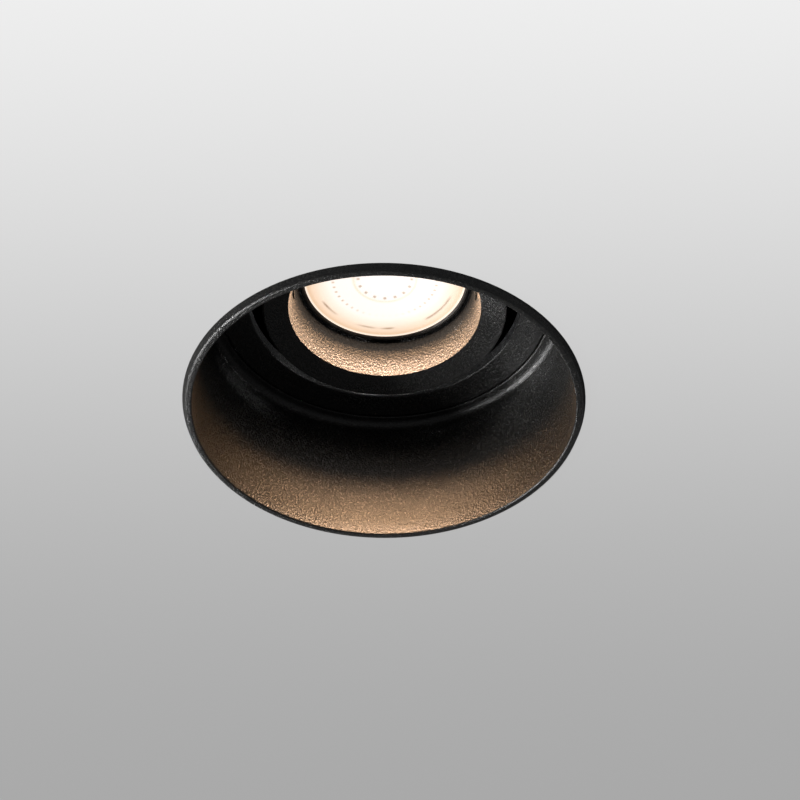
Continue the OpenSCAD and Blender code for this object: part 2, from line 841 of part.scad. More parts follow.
// Ceramic lampholder with two key slots
module lampholder() {
    edge = 1;
    waist_in = 1.1;
    waist_low = holder_h / 3;
    waist_high = holder_h - 2.6;
    color(ceramic)
        difference() {
            translate([0, 0, holder_z])
                rotate_extrude()
                    polygon([
                        [0, 0],
                        [holder_r - edge, 0],
                        [holder_r, edge],
                        [holder_r, waist_low],
                        [holder_r - waist_in, waist_low + waist_in],
                        [holder_r - waist_in, waist_high - waist_in],
                        [holder_r, waist_high],
                        [holder_r, holder_h],
                        [0, holder_h]
                    ]);
            both_sides() {
                key_slot(pin_r + key_gap, holder_z - eps, holder_skin + 2 * eps);
                key_slot(pin_head_r + key_gap, cavity_z, cavity_h);
                rotate([0, 0, -key_turn])
                    translate([pin_x, 0, holder_z - eps])
                        cylinder(h = holder_skin + 2 * eps, r = pin_head_r + key_gap / 2, $fn = 48);
                translate([contact_x - contact_side, -contact_w / 2 - touch_gap, cavity_z])
                    cube([contact_t + 2 * contact_side, contact_w + 2 * touch_gap, holder_h]);
                translate([pin_x, -contact_w / 2 - touch_gap, cavity_z])
                    cube([
                        contact_x + contact_side - pin_x,
                        contact_w + 2 * touch_gap,
                        contact_z + contact_t + touch_gap - cavity_z
                    ]);
            }
            for (s = [-1, 1])
                translate([0, s * holder_screw_y, holder_z - eps]) {
                    cylinder(h = holder_h + 2 * eps, r = holder_screw_r + fit_gap);
                    cylinder(h = holder_head_sink + eps, r = head_d / 2 + screw_end_gap);
                }
        }
}

// Two bronze contacts between the pins and the terminal block
module lampholder_contacts() {
    color(brass)
        both_sides() {
            translate([pin_x - contact_toe, -contact_w / 2, contact_z])
                cube([contact_x - pin_x + contact_toe + contact_t, contact_w, contact_t]);
            translate([contact_x, -contact_w / 2, contact_z])
                cube([contact_t, contact_w, contact_h]);
        }
}

// Screws that hold the lampholder and the terminal tray to the strap
module holder_screws() {
    head_z = holder_z + holder_head_sink;
    reach = tray_in_z + nut_h + 1 - head_z;
    color(steel)
        for (s = [-1, 1])
            translate([0, s * holder_screw_y, head_z])
                rotate([180, 0, 0])
                    round_screw(screw_d, reach, head_d, head_h);
}

// Hexagon nuts on the lampholder screws
module holder_nuts() {
    color(steel)
        for (s = [-1, 1])
            translate([0, s * holder_screw_y, tray_in_z])
                difference() {
                    cylinder(h = nut_h, r = nut_r, $fn = 6);
                    translate([0, 0, -eps]) cylinder(h = nut_h + 2 * eps, r = screw_d / 2 + fit_gap);
                }
}

// Plastic tray for the terminals
module terminal_tray() {
    color(white_plastic)
        difference() {
            union() {
                translate([0, 0, tray_floor_z])
                    linear_extrude(tray_h)
                        polygon(rounded_box(tray_x, tray_y, tray_corner));
                translate([0, tray_y / 2 - eps, inlet_z])
                    rotate([-90, 0, 0])
                        cylinder(h = inlet_boss_l, r = inlet_boss_r);
                for (s = [-1, 1])
                    translate([knuckle_x, s * (knuckle_l + lid_gap), knuckle_z])
                        rotate([90, 0, 0])
                            linear_extrude(knuckle_l, center = true)
                                polygon(concat(
                                    arc([0, 0], knuckle_r, 90, 270, 12),
                                    [
                                        [-tray_x / 2 - knuckle_x + eps, -2 * knuckle_r],
                                        [-tray_x / 2 - knuckle_x + eps, 0],
                                        [knuckle_r, 0]
                                    ]
                                ));
            }
            translate([0, 0, tray_in_z])
                linear_extrude(tray_h)
                    polygon(rounded_box(
                        tray_x - 2 * tray_wall, tray_y - 2 * tray_wall, tray_corner - tray_wall / 2
                    ));
            translate([0, tray_y / 2, inlet_z])
                rotate([-90, 0, 0])
                    cylinder(h = 2 * inlet_boss_l, r = grommet_flange_r + touch_gap);
            translate([0, tray_y / 2 - tray_wall - eps, inlet_z])
                rotate([-90, 0, 0])
                    cylinder(h = tray_wall + 2 * eps, r = grommet_hole_r + fit_gap);
            for (s = [-1, 1])
                translate([0, s * holder_screw_y, tray_floor_z - eps])
                    cylinder(h = tray_wall + 2 * eps, r = holder_screw_r + fit_gap);
            for (s = [-1, 1])
                translate([s * contact_x, 0, tray_floor_z + tray_wall / 2])
                    cube([contact_slot_w, contact_w + 2 * contact_slot_side, tray_wall + 2 * eps], center = true);
            translate([knuckle_x, 0, knuckle_z])
                rotate([90, 0, 0])
                    cylinder(h = tray_y, r = lid_pin_r + fit_gap, center = true);
        }
}

// Hinged lid of the terminal tray
module terminal_lid() {
    lid_z = tray_top_z + lid_gap;
    latch_x = tray_x / 2 + 0.2;
    color(white_plastic)
        difference() {
            union() {
                translate([0, 0, lid_z])
                    linear_extrude(lid_t)
                        polygon(rounded_box(tray_x, tray_y, tray_corner));
                translate([0, -latch_w / 2, lid_z]) cube([latch_x + latch_t, latch_w, lid_t]);
                translate([latch_x, -latch_w / 2, lid_z - latch_drop])
                    cube([latch_t, latch_w, latch_drop + eps]);
                for (i = [-grip_count / 2:grip_count / 2])
                    translate([tray_x / 2 - grip_back + i * grip_pitch, -latch_w / 2, lid_z + lid_t - eps])
                        cube([grip_pitch / 2, latch_w, grip_h]);
                translate([knuckle_x, 0, 0])
                    rotate([90, 0, 0])
                        linear_extrude(knuckle_l, center = true)
                            polygon(concat(
                                arc([0, knuckle_z], knuckle_r, 90, 360, 18),
                                [
                                    [knuckle_r, lid_z],
                                    [-tray_x / 2 - knuckle_x + 1, lid_z],
                                    [-tray_x / 2 - knuckle_x + 1, lid_z + lid_t],
                                    [0, lid_z + lid_t]
                                ]
                            ));
            }
            translate([knuckle_x, 0, knuckle_z])
                rotate([90, 0, 0])
                    cylinder(h = tray_y, r = lid_pin_r + fit_gap, center = true);
        }
}

// Pin of the lid hinge
module lid_hinge_pin() {
    color(steel)
        translate([knuckle_x, 0, knuckle_z])
            rotate([90, 0, 0])
                cylinder(h = 3 * knuckle_l + 1, r = lid_pin_r, center = true, $fn = 48);
}

// Three-pole terminal block
module terminal_block() {
    color(white_plastic)
        difference() {
            translate([-block_x / 2, -block_y / 2, tray_in_z + touch_gap / 3])
                cube([block_x, block_y, block_h]);
            for (i = [-1:1])
                translate([i * block_pitch, 0, terminal_bore_z])
                    rotate([90, 0, 0])
                        cylinder(h = 2 * block_y, r = terminal_bore_r, center = true, $fn = 32);
            for (i = [-1:1], s = [-1, 1])
                translate([i * block_pitch, s * block_y / 4, terminal_bore_z])
                    cylinder(h = block_h, r = terminal_screw_r + lid_gap, $fn = 32);
            for (s = [-1, 1])
                translate([s * (contact_x + contact_t / 2), 0, contact_z + contact_h / 2])
                    cube([contact_t + 2 * contact_side, contact_w + 2 * touch_gap, contact_h + 2 * touch_gap], center = true);
        }
}

// Clamping screws of the terminal block
module terminal_screws() {
    color(brass)
        for (i = [-1:1], s = [-1, 1])
            translate([i * block_pitch, s * block_y / 4, terminal_bore_z + terminal_bore_r + touch_gap / 3])
                difference() {
                    cylinder(h = terminal_screw_h, r = terminal_screw_r, $fn = 32);
                    translate([0, 0, terminal_screw_h])
                        cube([3 * terminal_screw_r, terminal_slot, 3 * terminal_slot], center = true);
                }
}

// Rubber grommet in the cable inlet
module cable_grommet() {
    half = tray_wall / 2 + touch_gap / 3;
    color(rubber)
        translate([0, (tray_y - tray_wall) / 2, inlet_z])
            rotate([-90, 0, 0])
                rotate_extrude()
                    polygon([
                        [cable_r, -half - grommet_flange_t],
                        [grommet_flange_r - 0.4, -half - grommet_flange_t],
                        [grommet_flange_r, -half],
                        [grommet_hole_r, -half],
                        [grommet_hole_r, half],
                        [grommet_flange_r, half],
                        [grommet_flange_r - 0.4, half + grommet_flange_t],
                        [cable_r, half + grommet_flange_t]
                    ]);
}

// Lamp body with its cooling ribs
module lamp_body() {
    color(aluminium)
        difference() {
            rotate_extrude()
                polygon(concat(
                    [[lamp_r - lamp_wall, lamp_body_z], [lamp_r, lamp_body_z], [lamp_r, shoulder_z]],
                    arc(flank_c, flank_r, flank_first, flank_last, 8),
                    [
                        [lamp_neck_r, neck_taper_z],
                        [lamp_neck_r, lamp_neck_z],
                        [0, lamp_neck_z],
                        [0, cone_top_z],
                        [cone_top_r, cone_top_z],
                        [lamp_r - lamp_wall, cone_z]
                    ]
                ));
            intersection() {
                for (i = [0:lamp_ribs - 1])
                    rotate([0, 0, i * 360 / lamp_ribs])
                        translate([lamp_neck_r / 2, -groove_w / 2, shoulder_z])
                            cube([lamp_r, groove_w, lamp_neck_z - shoulder_z]);
                rotate_extrude()
                    polygon(concat(
                        arc(flank_c, flank_r - lamp_groove, groove_first, flank_last, 8),
                        [
                            [lamp_neck_r, groove_end_z],
                            [2 * lamp_r, groove_end_z],
                            [2 * lamp_r, shoulder_z + (flank_r - lamp_groove) * sin(groove_first)]
                        ]
                    ));
            }
        }
}

// Front ring of the lamp
module lamp_bezel() {
    in_r = lamp_r - bezel_w;
    edge = 0.4;
    color(aluminium)
        rotate_extrude($fn = 144)
            polygon([
                [in_r, lamp_z + edge],
                [in_r + edge, lamp_z],
                [lamp_r - edge, lamp_z],
                [lamp_r, lamp_z + edge],
                [lamp_r, lamp_body_z - eps],
                [lens_r + lens_gap, lamp_body_z - eps],
                [lens_r + lens_gap, lens_z - lens_gap],
                [in_r, lens_z - lens_gap]
            ]);
}

// Front lens with its concentric rings
module lamp_lens() {
    rings = 5;
    plain_edge = 3;
    ring_h = 0.15;
    ring_side = 0.4;
    step = (lens_r - plain_edge) / rings;
    color(warm_glass)
        rotate_extrude($fn = 144)
            polygon(concat(
                [[0, lens_z]],
                [for (i = [1:rings - 1], p = [0, 1]) [i * step + p * ring_side, lens_z + (1 - p) * ring_h]],
                [[lens_r, lens_z], [lens_r, lens_z + lens_t - ring_side], [0, lens_z + lens_t]]
            ));
}

// Round board with the light-emitting module
module lamp_module() {
    color(warm_glass) {
        translate([0, 0, module_z]) cylinder(h = module_t, r = module_r);
        for (i = [0:chip_count - 1])
            rotate([0, 0, i * 360 / chip_count])
                translate([chip_at_r, 0, module_z + eps - chip_h]) cylinder(h = chip_h, r = chip_r, $fn = 24);
    }
}

// Base of the lamp
module lamp_base() {
    collar_r = lamp_neck_r - 0.6;
    collar_h = 1.8;
    edge = 0.8;
    color(white_plastic)
        translate([0, 0, lamp_neck_z])
            rotate_extrude()
                polygon([
                    [0, 0],
                    [collar_r, 0],
                    [collar_r, collar_h],
                    [lamp_base_r, 2 * collar_h],
                    [lamp_base_r, lamp_base_h - edge],
                    [lamp_base_r - edge, lamp_base_h],
                    [0, lamp_base_h]
                ]);
}

// Two bayonet contact pins
module lamp_pins() {
    color(steel)
        for (s = [-1, 1])
            translate([s * pin_x, 0, lamp_end_z])
                rotate_extrude($fn = 48)
                    polygon([
                        [0, 0],
                        [pin_r, 0],
                        [pin_r, pin_shank_l],
                        [pin_head_r, pin_shank_l],
                        [pin_head_r, pin_shank_l + pin_head_l - 0.5],
                        [pin_head_r - 0.5, pin_shank_l + pin_head_l],
                        [0, pin_shank_l + pin_head_l]
                    ]);
}

// Sheet bracket that carries one ceiling clip, at +X
module clip_bracket() {
    base_z = shelf_top_z;
    ear_z = base_z + clip_base_t;
    stop_c = [
        clip_x + (coil_r - wire_r - touch_gap - stop_t) * sin(bail_angle) + stop_reach * cos(bail_angle),
        clip_z + (coil_r - wire_r - touch_gap - stop_t) * cos(bail_angle) - stop_reach * sin(bail_angle)
    ];
    color(zinc)
        difference() {
            union() {
                intersection() {
                    difference() {
                        translate([0, 0, base_z]) cylinder(h = clip_base_t, r = clip_base_out_r);
                        translate([0, 0, base_z - eps])
                            cylinder(h = clip_base_t + 2 * eps, r = clip_base_in_r);
                    }
                    translate([clip_base_in_r / 2, -clip_base_half_y, base_z - eps])
                        cube([clip_base_out_r, 2 * clip_base_half_y, clip_base_t + 2 * eps]);
                }
                for (s = [-1, 1])
                    translate([0, s * (ear_in_y + ear_out_y) / 2, 0])
                        rotate([90, 0, 0])
                            linear_extrude(clip_sheet, center = true)
                                polygon(concat(
                                    [[ear_foot_back, ear_z - eps], [ear_foot_front, ear_z - eps]],
                                    [[ear_foot_front, stop_c[1] + 1]],
                                    arc([clip_x, clip_z], ear_r, 30, 215, 16)
                                ));
                for (s = [-1, 1])
                    translate([stop_c[0], s * (ear_in_y - stop_w / 2 + eps), stop_c[1]])
                        rotate([0, bail_angle, 0])
                            translate([0, -stop_w / 2, 0])
                                cube([1.6, stop_w, stop_t]);
            }
            translate([clip_x, 0, clip_z])
                rotate([90, 0, 0])
                    cylinder(h = 3 * ear_out_y, r = clip_pin_r + fit_gap, center = true);
            for (s = [-1, 1])
                rotate([0, 0, s * clip_screw_a])
                    translate([rim_screw_r, 0, base_z - eps])
                        cylinder(h = clip_base_t + 2 * eps, r = small_screw_d / 2 + fit_gap);
        }
}

// Screws of the clip brackets
module clip_screws() {
    color(steel)
        both_sides()
            for (s = [-1, 1])
                rotate([0, 0, s * clip_screw_a])
                    translate([rim_screw_r, 0, shelf_top_z + clip_base_t])
                        round_screw(
                            small_screw_d, clip_base_t + small_screw_depth - screw_end_gap, small_head_d, small_head_h
                        );
}

// Riveted pin of one clip, at +X
module clip_pin() {
    head_y = ear_out_y + 0.1;
    color(steel)
        translate([clip_x, 0, clip_z])
            rotate([90, 0, 0]) {
                cylinder(h = 2 * head_y, r = clip_pin_r, center = true);
                for (s = [0, 180])
                    rotate([s, 0, 0])
                        translate([0, 0, head_y - eps])
                            cylinder(h = clip_pin_head_t, r = clip_pin_head_r);
            }
}

// Point of the clip, given along and above the bail line and across the clip
function bail_point(along, y) = [
    clip_x + coil_r * sin(bail_angle) + along * cos(bail_angle),
    y,
    clip_z + coil_r * cos(bail_angle) - along * sin(bail_angle)
];

// Point on the coil at angle a, where y is its place along the clip axis
function coil_point(a, y) = [clip_x + coil_r * cos(a), y, clip_z + coil_r * sin(a)];

// Half of the wire, from the tip of its short leg to the middle of the bail
coil_rings = ceil((coil_end - coil_start) / 360 * turn_rings);
leg_end = coil_point(coil_end, bail_half_w - coil_span);
leg_dir = [-sin(coil_end), 0, cos(coil_end)];
half_wire = concat(
    [leg_end + leg_l * leg_dir, leg_end + leg_l / 2 * leg_dir],
    [
        for (i = [coil_rings:-1:0])
            let (f = i / coil_rings)
                coil_point(coil_start + f * (coil_end - coil_start), bail_half_w - f * coil_span)
    ],
    [for (along = [bail_l / 3, 2 * bail_l / 3]) bail_point(along, bail_half_w)],
    [
        for (a = [0:15:90])
            bail_point(bail_l - bail_half_w + bail_half_w * sin(a), bail_half_w * cos(a))
    ]
);
wire_path = concat(
    half_wire,
    [for (i = [len(half_wire) - 2:-1:0]) [half_wire[i][0], -half_wire[i][1], half_wire[i][2]]]
);
wire_gap = least_distance(wire_path, turn_rings / 2) - wire_d;
echo(least_gap_between_turns_mm = wire_gap);

// Torsion spring of one clip, a single wire with two coils and a bail, at +X
module clip_spring() {
    color(steel) tube(wire_path, wire_r, wire_sides, [0, 1, 0]);
}

housing();
pan_ring();
retaining_tab(0);  // retaining_tab_1
retaining_tab(1);  // retaining_tab_2
retaining_tab(2);  // retaining_tab_3
tab_screws();
rotate([0, 0, 180]) pivot_bracket();  // pivot_bracket_left
pivot_bracket();  // pivot_bracket_right
pivot_bracket_screws();
rotate([0, 0, 180]) pivot_pin();  // pivot_pin_left
pivot_pin();  // pivot_pin_right
rotate([0, 0, 180]) pivot_washer();  // pivot_washer_left
pivot_washer();  // pivot_washer_right
lamp_carrier();
lampholder_strap();
strap_screws();
earth_screw();
lampholder();
lampholder_contacts();
holder_screws();
holder_nuts();
terminal_tray();
terminal_lid();
lid_hinge_pin();
terminal_block();
terminal_screws();
cable_grommet();
lamp_body();
lamp_bezel();
lamp_lens();
lamp_module();
lamp_base();
lamp_pins();
rotate([0, 0, 180]) clip_bracket();  // clip_bracket_left
clip_bracket();  // clip_bracket_right
clip_screws();
rotate([0, 0, 180]) clip_pin();  // clip_pin_left
clip_pin();  // clip_pin_right
rotate([0, 0, 180]) clip_spring();  // clip_spring_left
clip_spring();  // clip_spring_right
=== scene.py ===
"""Looks of a recessed adjustable downlight in a soffit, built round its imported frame.

Lengths are in metres. The origin is the centre of the ceiling cut-out, in the plane of the
ceiling face, and +Z points up into the void above the ceiling.
"""

import json
import logging
import math
from collections.abc import Sequence
from dataclasses import dataclass
from enum import Enum

import bpy
from mathutils import Matrix, Vector

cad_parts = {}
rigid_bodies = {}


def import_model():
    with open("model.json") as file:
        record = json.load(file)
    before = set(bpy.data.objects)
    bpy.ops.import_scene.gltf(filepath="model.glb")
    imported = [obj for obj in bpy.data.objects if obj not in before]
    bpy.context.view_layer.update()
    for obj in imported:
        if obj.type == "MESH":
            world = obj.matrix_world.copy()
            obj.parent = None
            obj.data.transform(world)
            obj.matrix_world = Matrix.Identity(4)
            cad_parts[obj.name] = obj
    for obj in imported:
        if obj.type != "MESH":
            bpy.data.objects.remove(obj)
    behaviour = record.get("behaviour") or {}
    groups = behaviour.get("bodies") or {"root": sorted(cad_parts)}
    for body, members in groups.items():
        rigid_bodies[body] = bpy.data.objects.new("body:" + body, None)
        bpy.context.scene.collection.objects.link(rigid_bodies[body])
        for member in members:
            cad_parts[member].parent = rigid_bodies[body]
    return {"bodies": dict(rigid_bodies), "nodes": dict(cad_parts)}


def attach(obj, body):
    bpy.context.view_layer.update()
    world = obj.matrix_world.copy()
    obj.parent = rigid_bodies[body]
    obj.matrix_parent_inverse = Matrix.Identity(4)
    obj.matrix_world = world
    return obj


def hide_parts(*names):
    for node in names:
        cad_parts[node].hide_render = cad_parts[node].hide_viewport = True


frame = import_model()

LOG = logging.getLogger("downlight")
MM = 0.001

Pair = tuple[float, float]
Triple = tuple[float, float, float]
Colour = tuple[float, float, float]
Stops = Sequence[tuple[float, Colour]]


def grey(level: float) -> Colour:
    """Turn a display grey into a scene-linear colour.

    Args:
        level: The grey, 0 to 255.

    Returns:
        The colour in linear light.
    """
    part = level / 255
    value = part / 12.92 if part <= 0.04045 else ((part + 0.055) / 1.055) ** 2.4
    return value, value, value


class Socket:
    """An output of a shader node on which arithmetic adds Math nodes."""

    def __init__(self, shader: "Shader", output: bpy.types.NodeSocket) -> None:
        """Keep the shader and the output.

        Args:
            shader: The shader that gets the nodes.
            output: The output that is wrapped.
        """
        self.shader = shader
        self.output = output

    def math(self, operation: str, *others: "float | Socket") -> "Socket":
        """Add a Math node with this socket as its first value.

        Args:
            operation: The Math node's operation.
            others: The other values.

        Returns:
            The node's result.
        """
        values = dict(enumerate((self, *others)))
        return self.shader.node("ShaderNodeMath", {"operation": operation}, values)

    def _turned(self, operation: str, first: float) -> "Socket":
        """Add a Math node with this socket as its second value."""
        return self.shader.node("ShaderNodeMath", {"operation": operation}, {0: first, 1: self})

    def __add__(self, other: "float | Socket") -> "Socket":
        """Return the sum."""
        return self.math("ADD", other)

    def __radd__(self, other: float) -> "Socket":
        """Return the sum."""
        return self._turned("ADD", other)

    def __sub__(self, other: "float | Socket") -> "Socket":
        """Return the difference."""
        return self.math("SUBTRACT", other)

    def __rsub__(self, other: float) -> "Socket":
        """Return the difference, taken from a number."""
        return self._turned("SUBTRACT", other)

    def __mul__(self, other: "float | Socket") -> "Socket":
        """Return the product."""
        return self.math("MULTIPLY", other)

    def __rmul__(self, other: float) -> "Socket":
        """Return the product."""
        return self._turned("MULTIPLY", other)

    def __truediv__(self, other: "float | Socket") -> "Socket":
        """Return the quotient."""
        return self.math("DIVIDE", other)

    def __pow__(self, other: "float | Socket") -> "Socket":
        """Return the power."""
        return self.math("POWER", other)


class Shader:
    """Node tree of one material or of the world.

    Attributes:
        MIX_INPUTS: Places of a colour Mix node's factor and its two colours.
        MIX_RESULT: Place of its mixed colour.
    """

    MIX_INPUTS: tuple[int, int, int] = (0, 6, 7)
    MIX_RESULT: int = 2

    def __init__(self, name: str, for_world: bool = False) -> None:
        """Start an empty material or world.

        Args:
            name: Its name.
            for_world: True for a world.
        """
        self.result = "ShaderNodeOutputWorld" if for_world else "ShaderNodeOutputMaterial"
        self.owner = bpy.data.worlds.new(name) if for_world else bpy.data.materials.new(name)
        self.owner.use_nodes = True
        self.tree = self.owner.node_tree
        self.tree.nodes.clear()

    def node(
        self,
        kind: str,
        settings: dict[str, object] | None = None,
        inputs: "dict[int | str, object] | None" = None,
        output: int | str = 0,
    ) -> Socket:
        """Add a node.

        Args:
            kind: The node's type.
            settings: Its settings. "stops" fills a colour ramp with (place, colour) pairs.
            inputs: Values or sockets for its inputs, by place or name.
            output: Which of its outputs to return.

        Returns:
            The chosen output.
        """
        made = self.tree.nodes.new(kind)
        for key, value in (settings or {}).items():
            if key == "stops":
                self._fill_ramp(made.color_ramp, value)
            else:
                setattr(made, key, value)
        for key, value in (inputs or {}).items():
            if isinstance(value, Socket):
                self.tree.links.new(value.output, made.inputs[key])
            else:
                target = made.inputs[key]
                wide = isinstance(value, tuple) and len(value) == 3 and target.type == "RGBA"
                target.default_value = (*value, 1.0) if wide else value
        return Socket(self, made.outputs[output] if made.outputs else None)

    @staticmethod
    def _fill_ramp(ramp: bpy.types.ColorRamp, stops: Stops) -> None:
        """Set the stops of a colour ramp.

        Args:
            ramp: The ramp.
            stops: Places from 0 to 1 and their colours, in order.
        """
        while len(ramp.elements) > 1:
            ramp.elements.remove(ramp.elements[-1])
        ramp.elements[0].position, ramp.elements[0].color = stops[0][0], (*stops[0][1], 1.0)
        for place, colour in stops[1:]:
            ramp.elements.new(place).color = (*colour, 1.0)

    def place(self) -> Socket:
        """Return the object coordinates, in metres."""
        return self.node("ShaderNodeTexCoord", output="Object")

    def axes(self) -> tuple[Socket, ...]:
        """Split the object coordinates.

        Returns:
            The places along X, Y and Z.
        """
        split = self.node("ShaderNodeSeparateXYZ", inputs={0: self.place()})
        return tuple(Socket(self, output) for output in split.output.node.outputs)

    def noise(
        self,
        size: float,
        detail: float = 2.0,
        roughness: float = 0.5,
        stretch: Triple | None = None,
    ) -> Socket:
        """Return a noise pattern from 0 to 1.

        Args:
            size: Size of one blotch in metres.
            detail: Finer layers added to it.
            roughness: Strength of the finer layers.
            stretch: Scale of the pattern along each axis, if it isn't even.

        Returns:
            The pattern.
        """
        spot = self.place()
        if stretch is not None:
            spot = self.node("ShaderNodeMapping", inputs={"Vector": spot, "Scale": stretch})
        inputs = {"Vector": spot, "Scale": 1 / size, "Detail": detail, "Roughness": roughness}
        return self.node("ShaderNodeTexNoise", inputs=inputs)

    def cells(self, size: float) -> Socket:
        """Return the distances of a cell pattern.

        Args:
            size: Size of one cell in metres.

        Returns:
            The distance, about 0 to 1.
        """
        return self.node(
            "ShaderNodeTexVoronoi", inputs={"Vector": self.place(), "Scale": 1 / size}
        )

    def ramp(self, value: Socket, stops: Stops) -> Socket:
        """Return the colour of a ramp at a value.

        Args:
            value: The value, 0 to 1.
            stops: Places and colours of the ramp.

        Returns:
            The colour.
        """
        return self.node("ShaderNodeValToRGB", {"stops": stops}, {0: value})

    def span(
        self, value: Socket, low: float, high: float, first: float = 0.0, last: float = 1.0
    ) -> Socket:
        """Map a value from one span to another, clamped.

        Args:
            value: The value.
            low: Start of its span.
            high: End of its span.
            first: Result at the start.
            last: Result at the end.

        Returns:
            The mapped value.
        """
        values = dict(enumerate((value, low, high, first, last)))
        return self.node("ShaderNodeMapRange", inputs=values)

    def blend(
        self,
        mask: "Socket | float",
        first: "Socket | Colour",
        second: "Socket | Colour",
        how: str = "MIX",
    ) -> Socket:
        """Mix two colours.

        Args:
            mask: 0 for the first colour and 1 for the second.
            first: The first colour.
            second: The second colour.
            how: The Mix node's blend type.

        Returns:
            The mixed colour.
        """
        settings = {"data_type": "RGBA", "blend_type": how}
        inputs = dict(zip(self.MIX_INPUTS, (mask, first, second)))
        return self.node("ShaderNodeMix", settings, inputs, self.MIX_RESULT)

    def bump(
        self, height: Socket, depth: float, strength: float = 1.0, under: Socket | None = None
    ) -> Socket:
        """Return a normal bent by a height pattern.

        Args:
            height: The pattern, 0 to 1.
            depth: Its depth in metres.
            strength: Strength of the effect.
            under: A normal that it is laid over.

        Returns:
            The normal.
        """
        inputs = {"Height": height, "Distance": depth, "Strength": strength}
        if under is not None:
            inputs["Normal"] = under
        return self.node("ShaderNodeBump", inputs=inputs)

    def surface(self, **inputs: object) -> Socket:
        """Add the Principled surface.

        Args:
            inputs: Its inputs by name, with underscores for spaces.

        Returns:
            The surface.
        """
        named = {name.replace("_", " "): value for name, value in inputs.items()}
        return self.node("ShaderNodeBsdfPrincipled", inputs=named)

    def seen_by_camera(self) -> Socket:
        """Return 1 for what the camera sees straight on and 0 for all other light."""
        return self.node("ShaderNodeLightPath", output="Is Camera Ray")

    def done(self, surface: Socket) -> bpy.types.ID:
        """Link the surface to the output.

        Args:
            surface: The finished surface.

        Returns:
            The material or the world.
        """
        self.node(self.result, inputs={"Surface": surface})
        return self.owner


@dataclass(frozen=True)
class PowderCoat:
    """Fine-textured powder coat: small round grains under a dull skin.

    Attributes:
        name: Name of the material.
        body: Colour on top of the grains.
        worn: Paler colour between the grains.
        grain: Size of a grain.
        grain_depth: Height of a grain.
        fine: Size of the finer texture on the skin.
        fine_depth: Height of the finer texture.
        patch: Size of the uneven patches.
        shares: Weights of grains, finer texture and patches in the colour.
        contrast: Values of their sum at which the colour turns.
        roughness: Roughness between the grains and on top of them.
        gloss: Specular level.
    """

    name: str = "black powder coat"
    body: Colour = (0.001, 0.001, 0.0009)
    worn: Colour = (0.026, 0.0247, 0.0228)
    grain: float = 0.6 * MM
    grain_depth: float = 0.24 * MM
    fine: float = 0.22 * MM
    fine_depth: float = 0.04 * MM
    patch: float = 9 * MM
    shares: Triple = (0.55, 0.35, 0.1)
    contrast: Pair = (0.43, 0.51)
    roughness: Pair = (0.24, 0.36)
    gloss: float = 0.75

    def material(self) -> bpy.types.Material:
        """Build the coat.

        Returns:
            The material.
        """
        shader = Shader(self.name)
        lumps = shader.noise(self.grain, 2.0, 0.6)
        fine = shader.noise(self.fine, 2.0, 0.6)
        patches = shader.noise(self.patch, 3.0)
        of_lumps, of_fine, of_patches = self.shares
        texture = lumps * of_lumps + fine * of_fine + patches * of_patches
        speckle = shader.span(texture, *self.contrast)
        skin = shader.bump(fine, self.fine_depth, 0.8)
        return shader.done(
            shader.surface(
                Base_Color=shader.blend(speckle, self.worn, self.body),
                Roughness=shader.span(speckle, 0.0, 1.0, *self.roughness),
                Specular_IOR_Level=self.gloss,
                Normal=shader.bump(lumps, self.grain_depth, 0.85, skin),
            )
        )


@dataclass(frozen=True)
class ZincSheet:
    """Zinc-plated sheet: rolled grain, faint spangle and a little tarnish.

    Attributes:
        name: Name of the material.
        bright: Colour where it is clean.
        dull: Colour where it is tarnished.
        spangle: Size of a zinc crystal.
        roughness: Least and greatest roughness.
        rolled: Width of the rolling marks.
        rolling: Scale of the marks along each axis.
        rolled_depth: Depth of the marks.
        tarnish: Size of a tarnished patch.
    """

    name: str = "zinc plated sheet"
    bright: Colour = (0.62, 0.63, 0.65)
    dull: Colour = (0.42, 0.43, 0.46)
    spangle: float = 2.6 * MM
    roughness: Pair = (0.24, 0.44)
    rolled: float = 0.5 * MM
    rolling: Triple = (1.0, 14.0, 14.0)
    rolled_depth: float = 0.012 * MM
    tarnish: float = 6 * MM

    def material(self) -> bpy.types.Material:
        """Build the plating.

        Returns:
            The material.
        """
        shader = Shader(self.name)
        crystals = shader.cells(self.spangle)
        rolled = shader.noise(self.rolled, 3.0, 0.6, self.rolling)
        tarnish = shader.noise(self.tarnish, 4.0, 0.6)
        tone = shader.span(tarnish * 0.7 + crystals * 0.3, 0.3, 0.62)
        wear = rolled * 0.5 + tarnish * 0.5
        return shader.done(
            shader.surface(
                Base_Color=shader.blend(tone, self.bright, self.dull),
                Metallic=1.0,
                Roughness=shader.span(wear, 0.3, 0.7, *self.roughness),
                Normal=shader.bump(rolled, self.rolled_depth, 0.5),
            )
        )


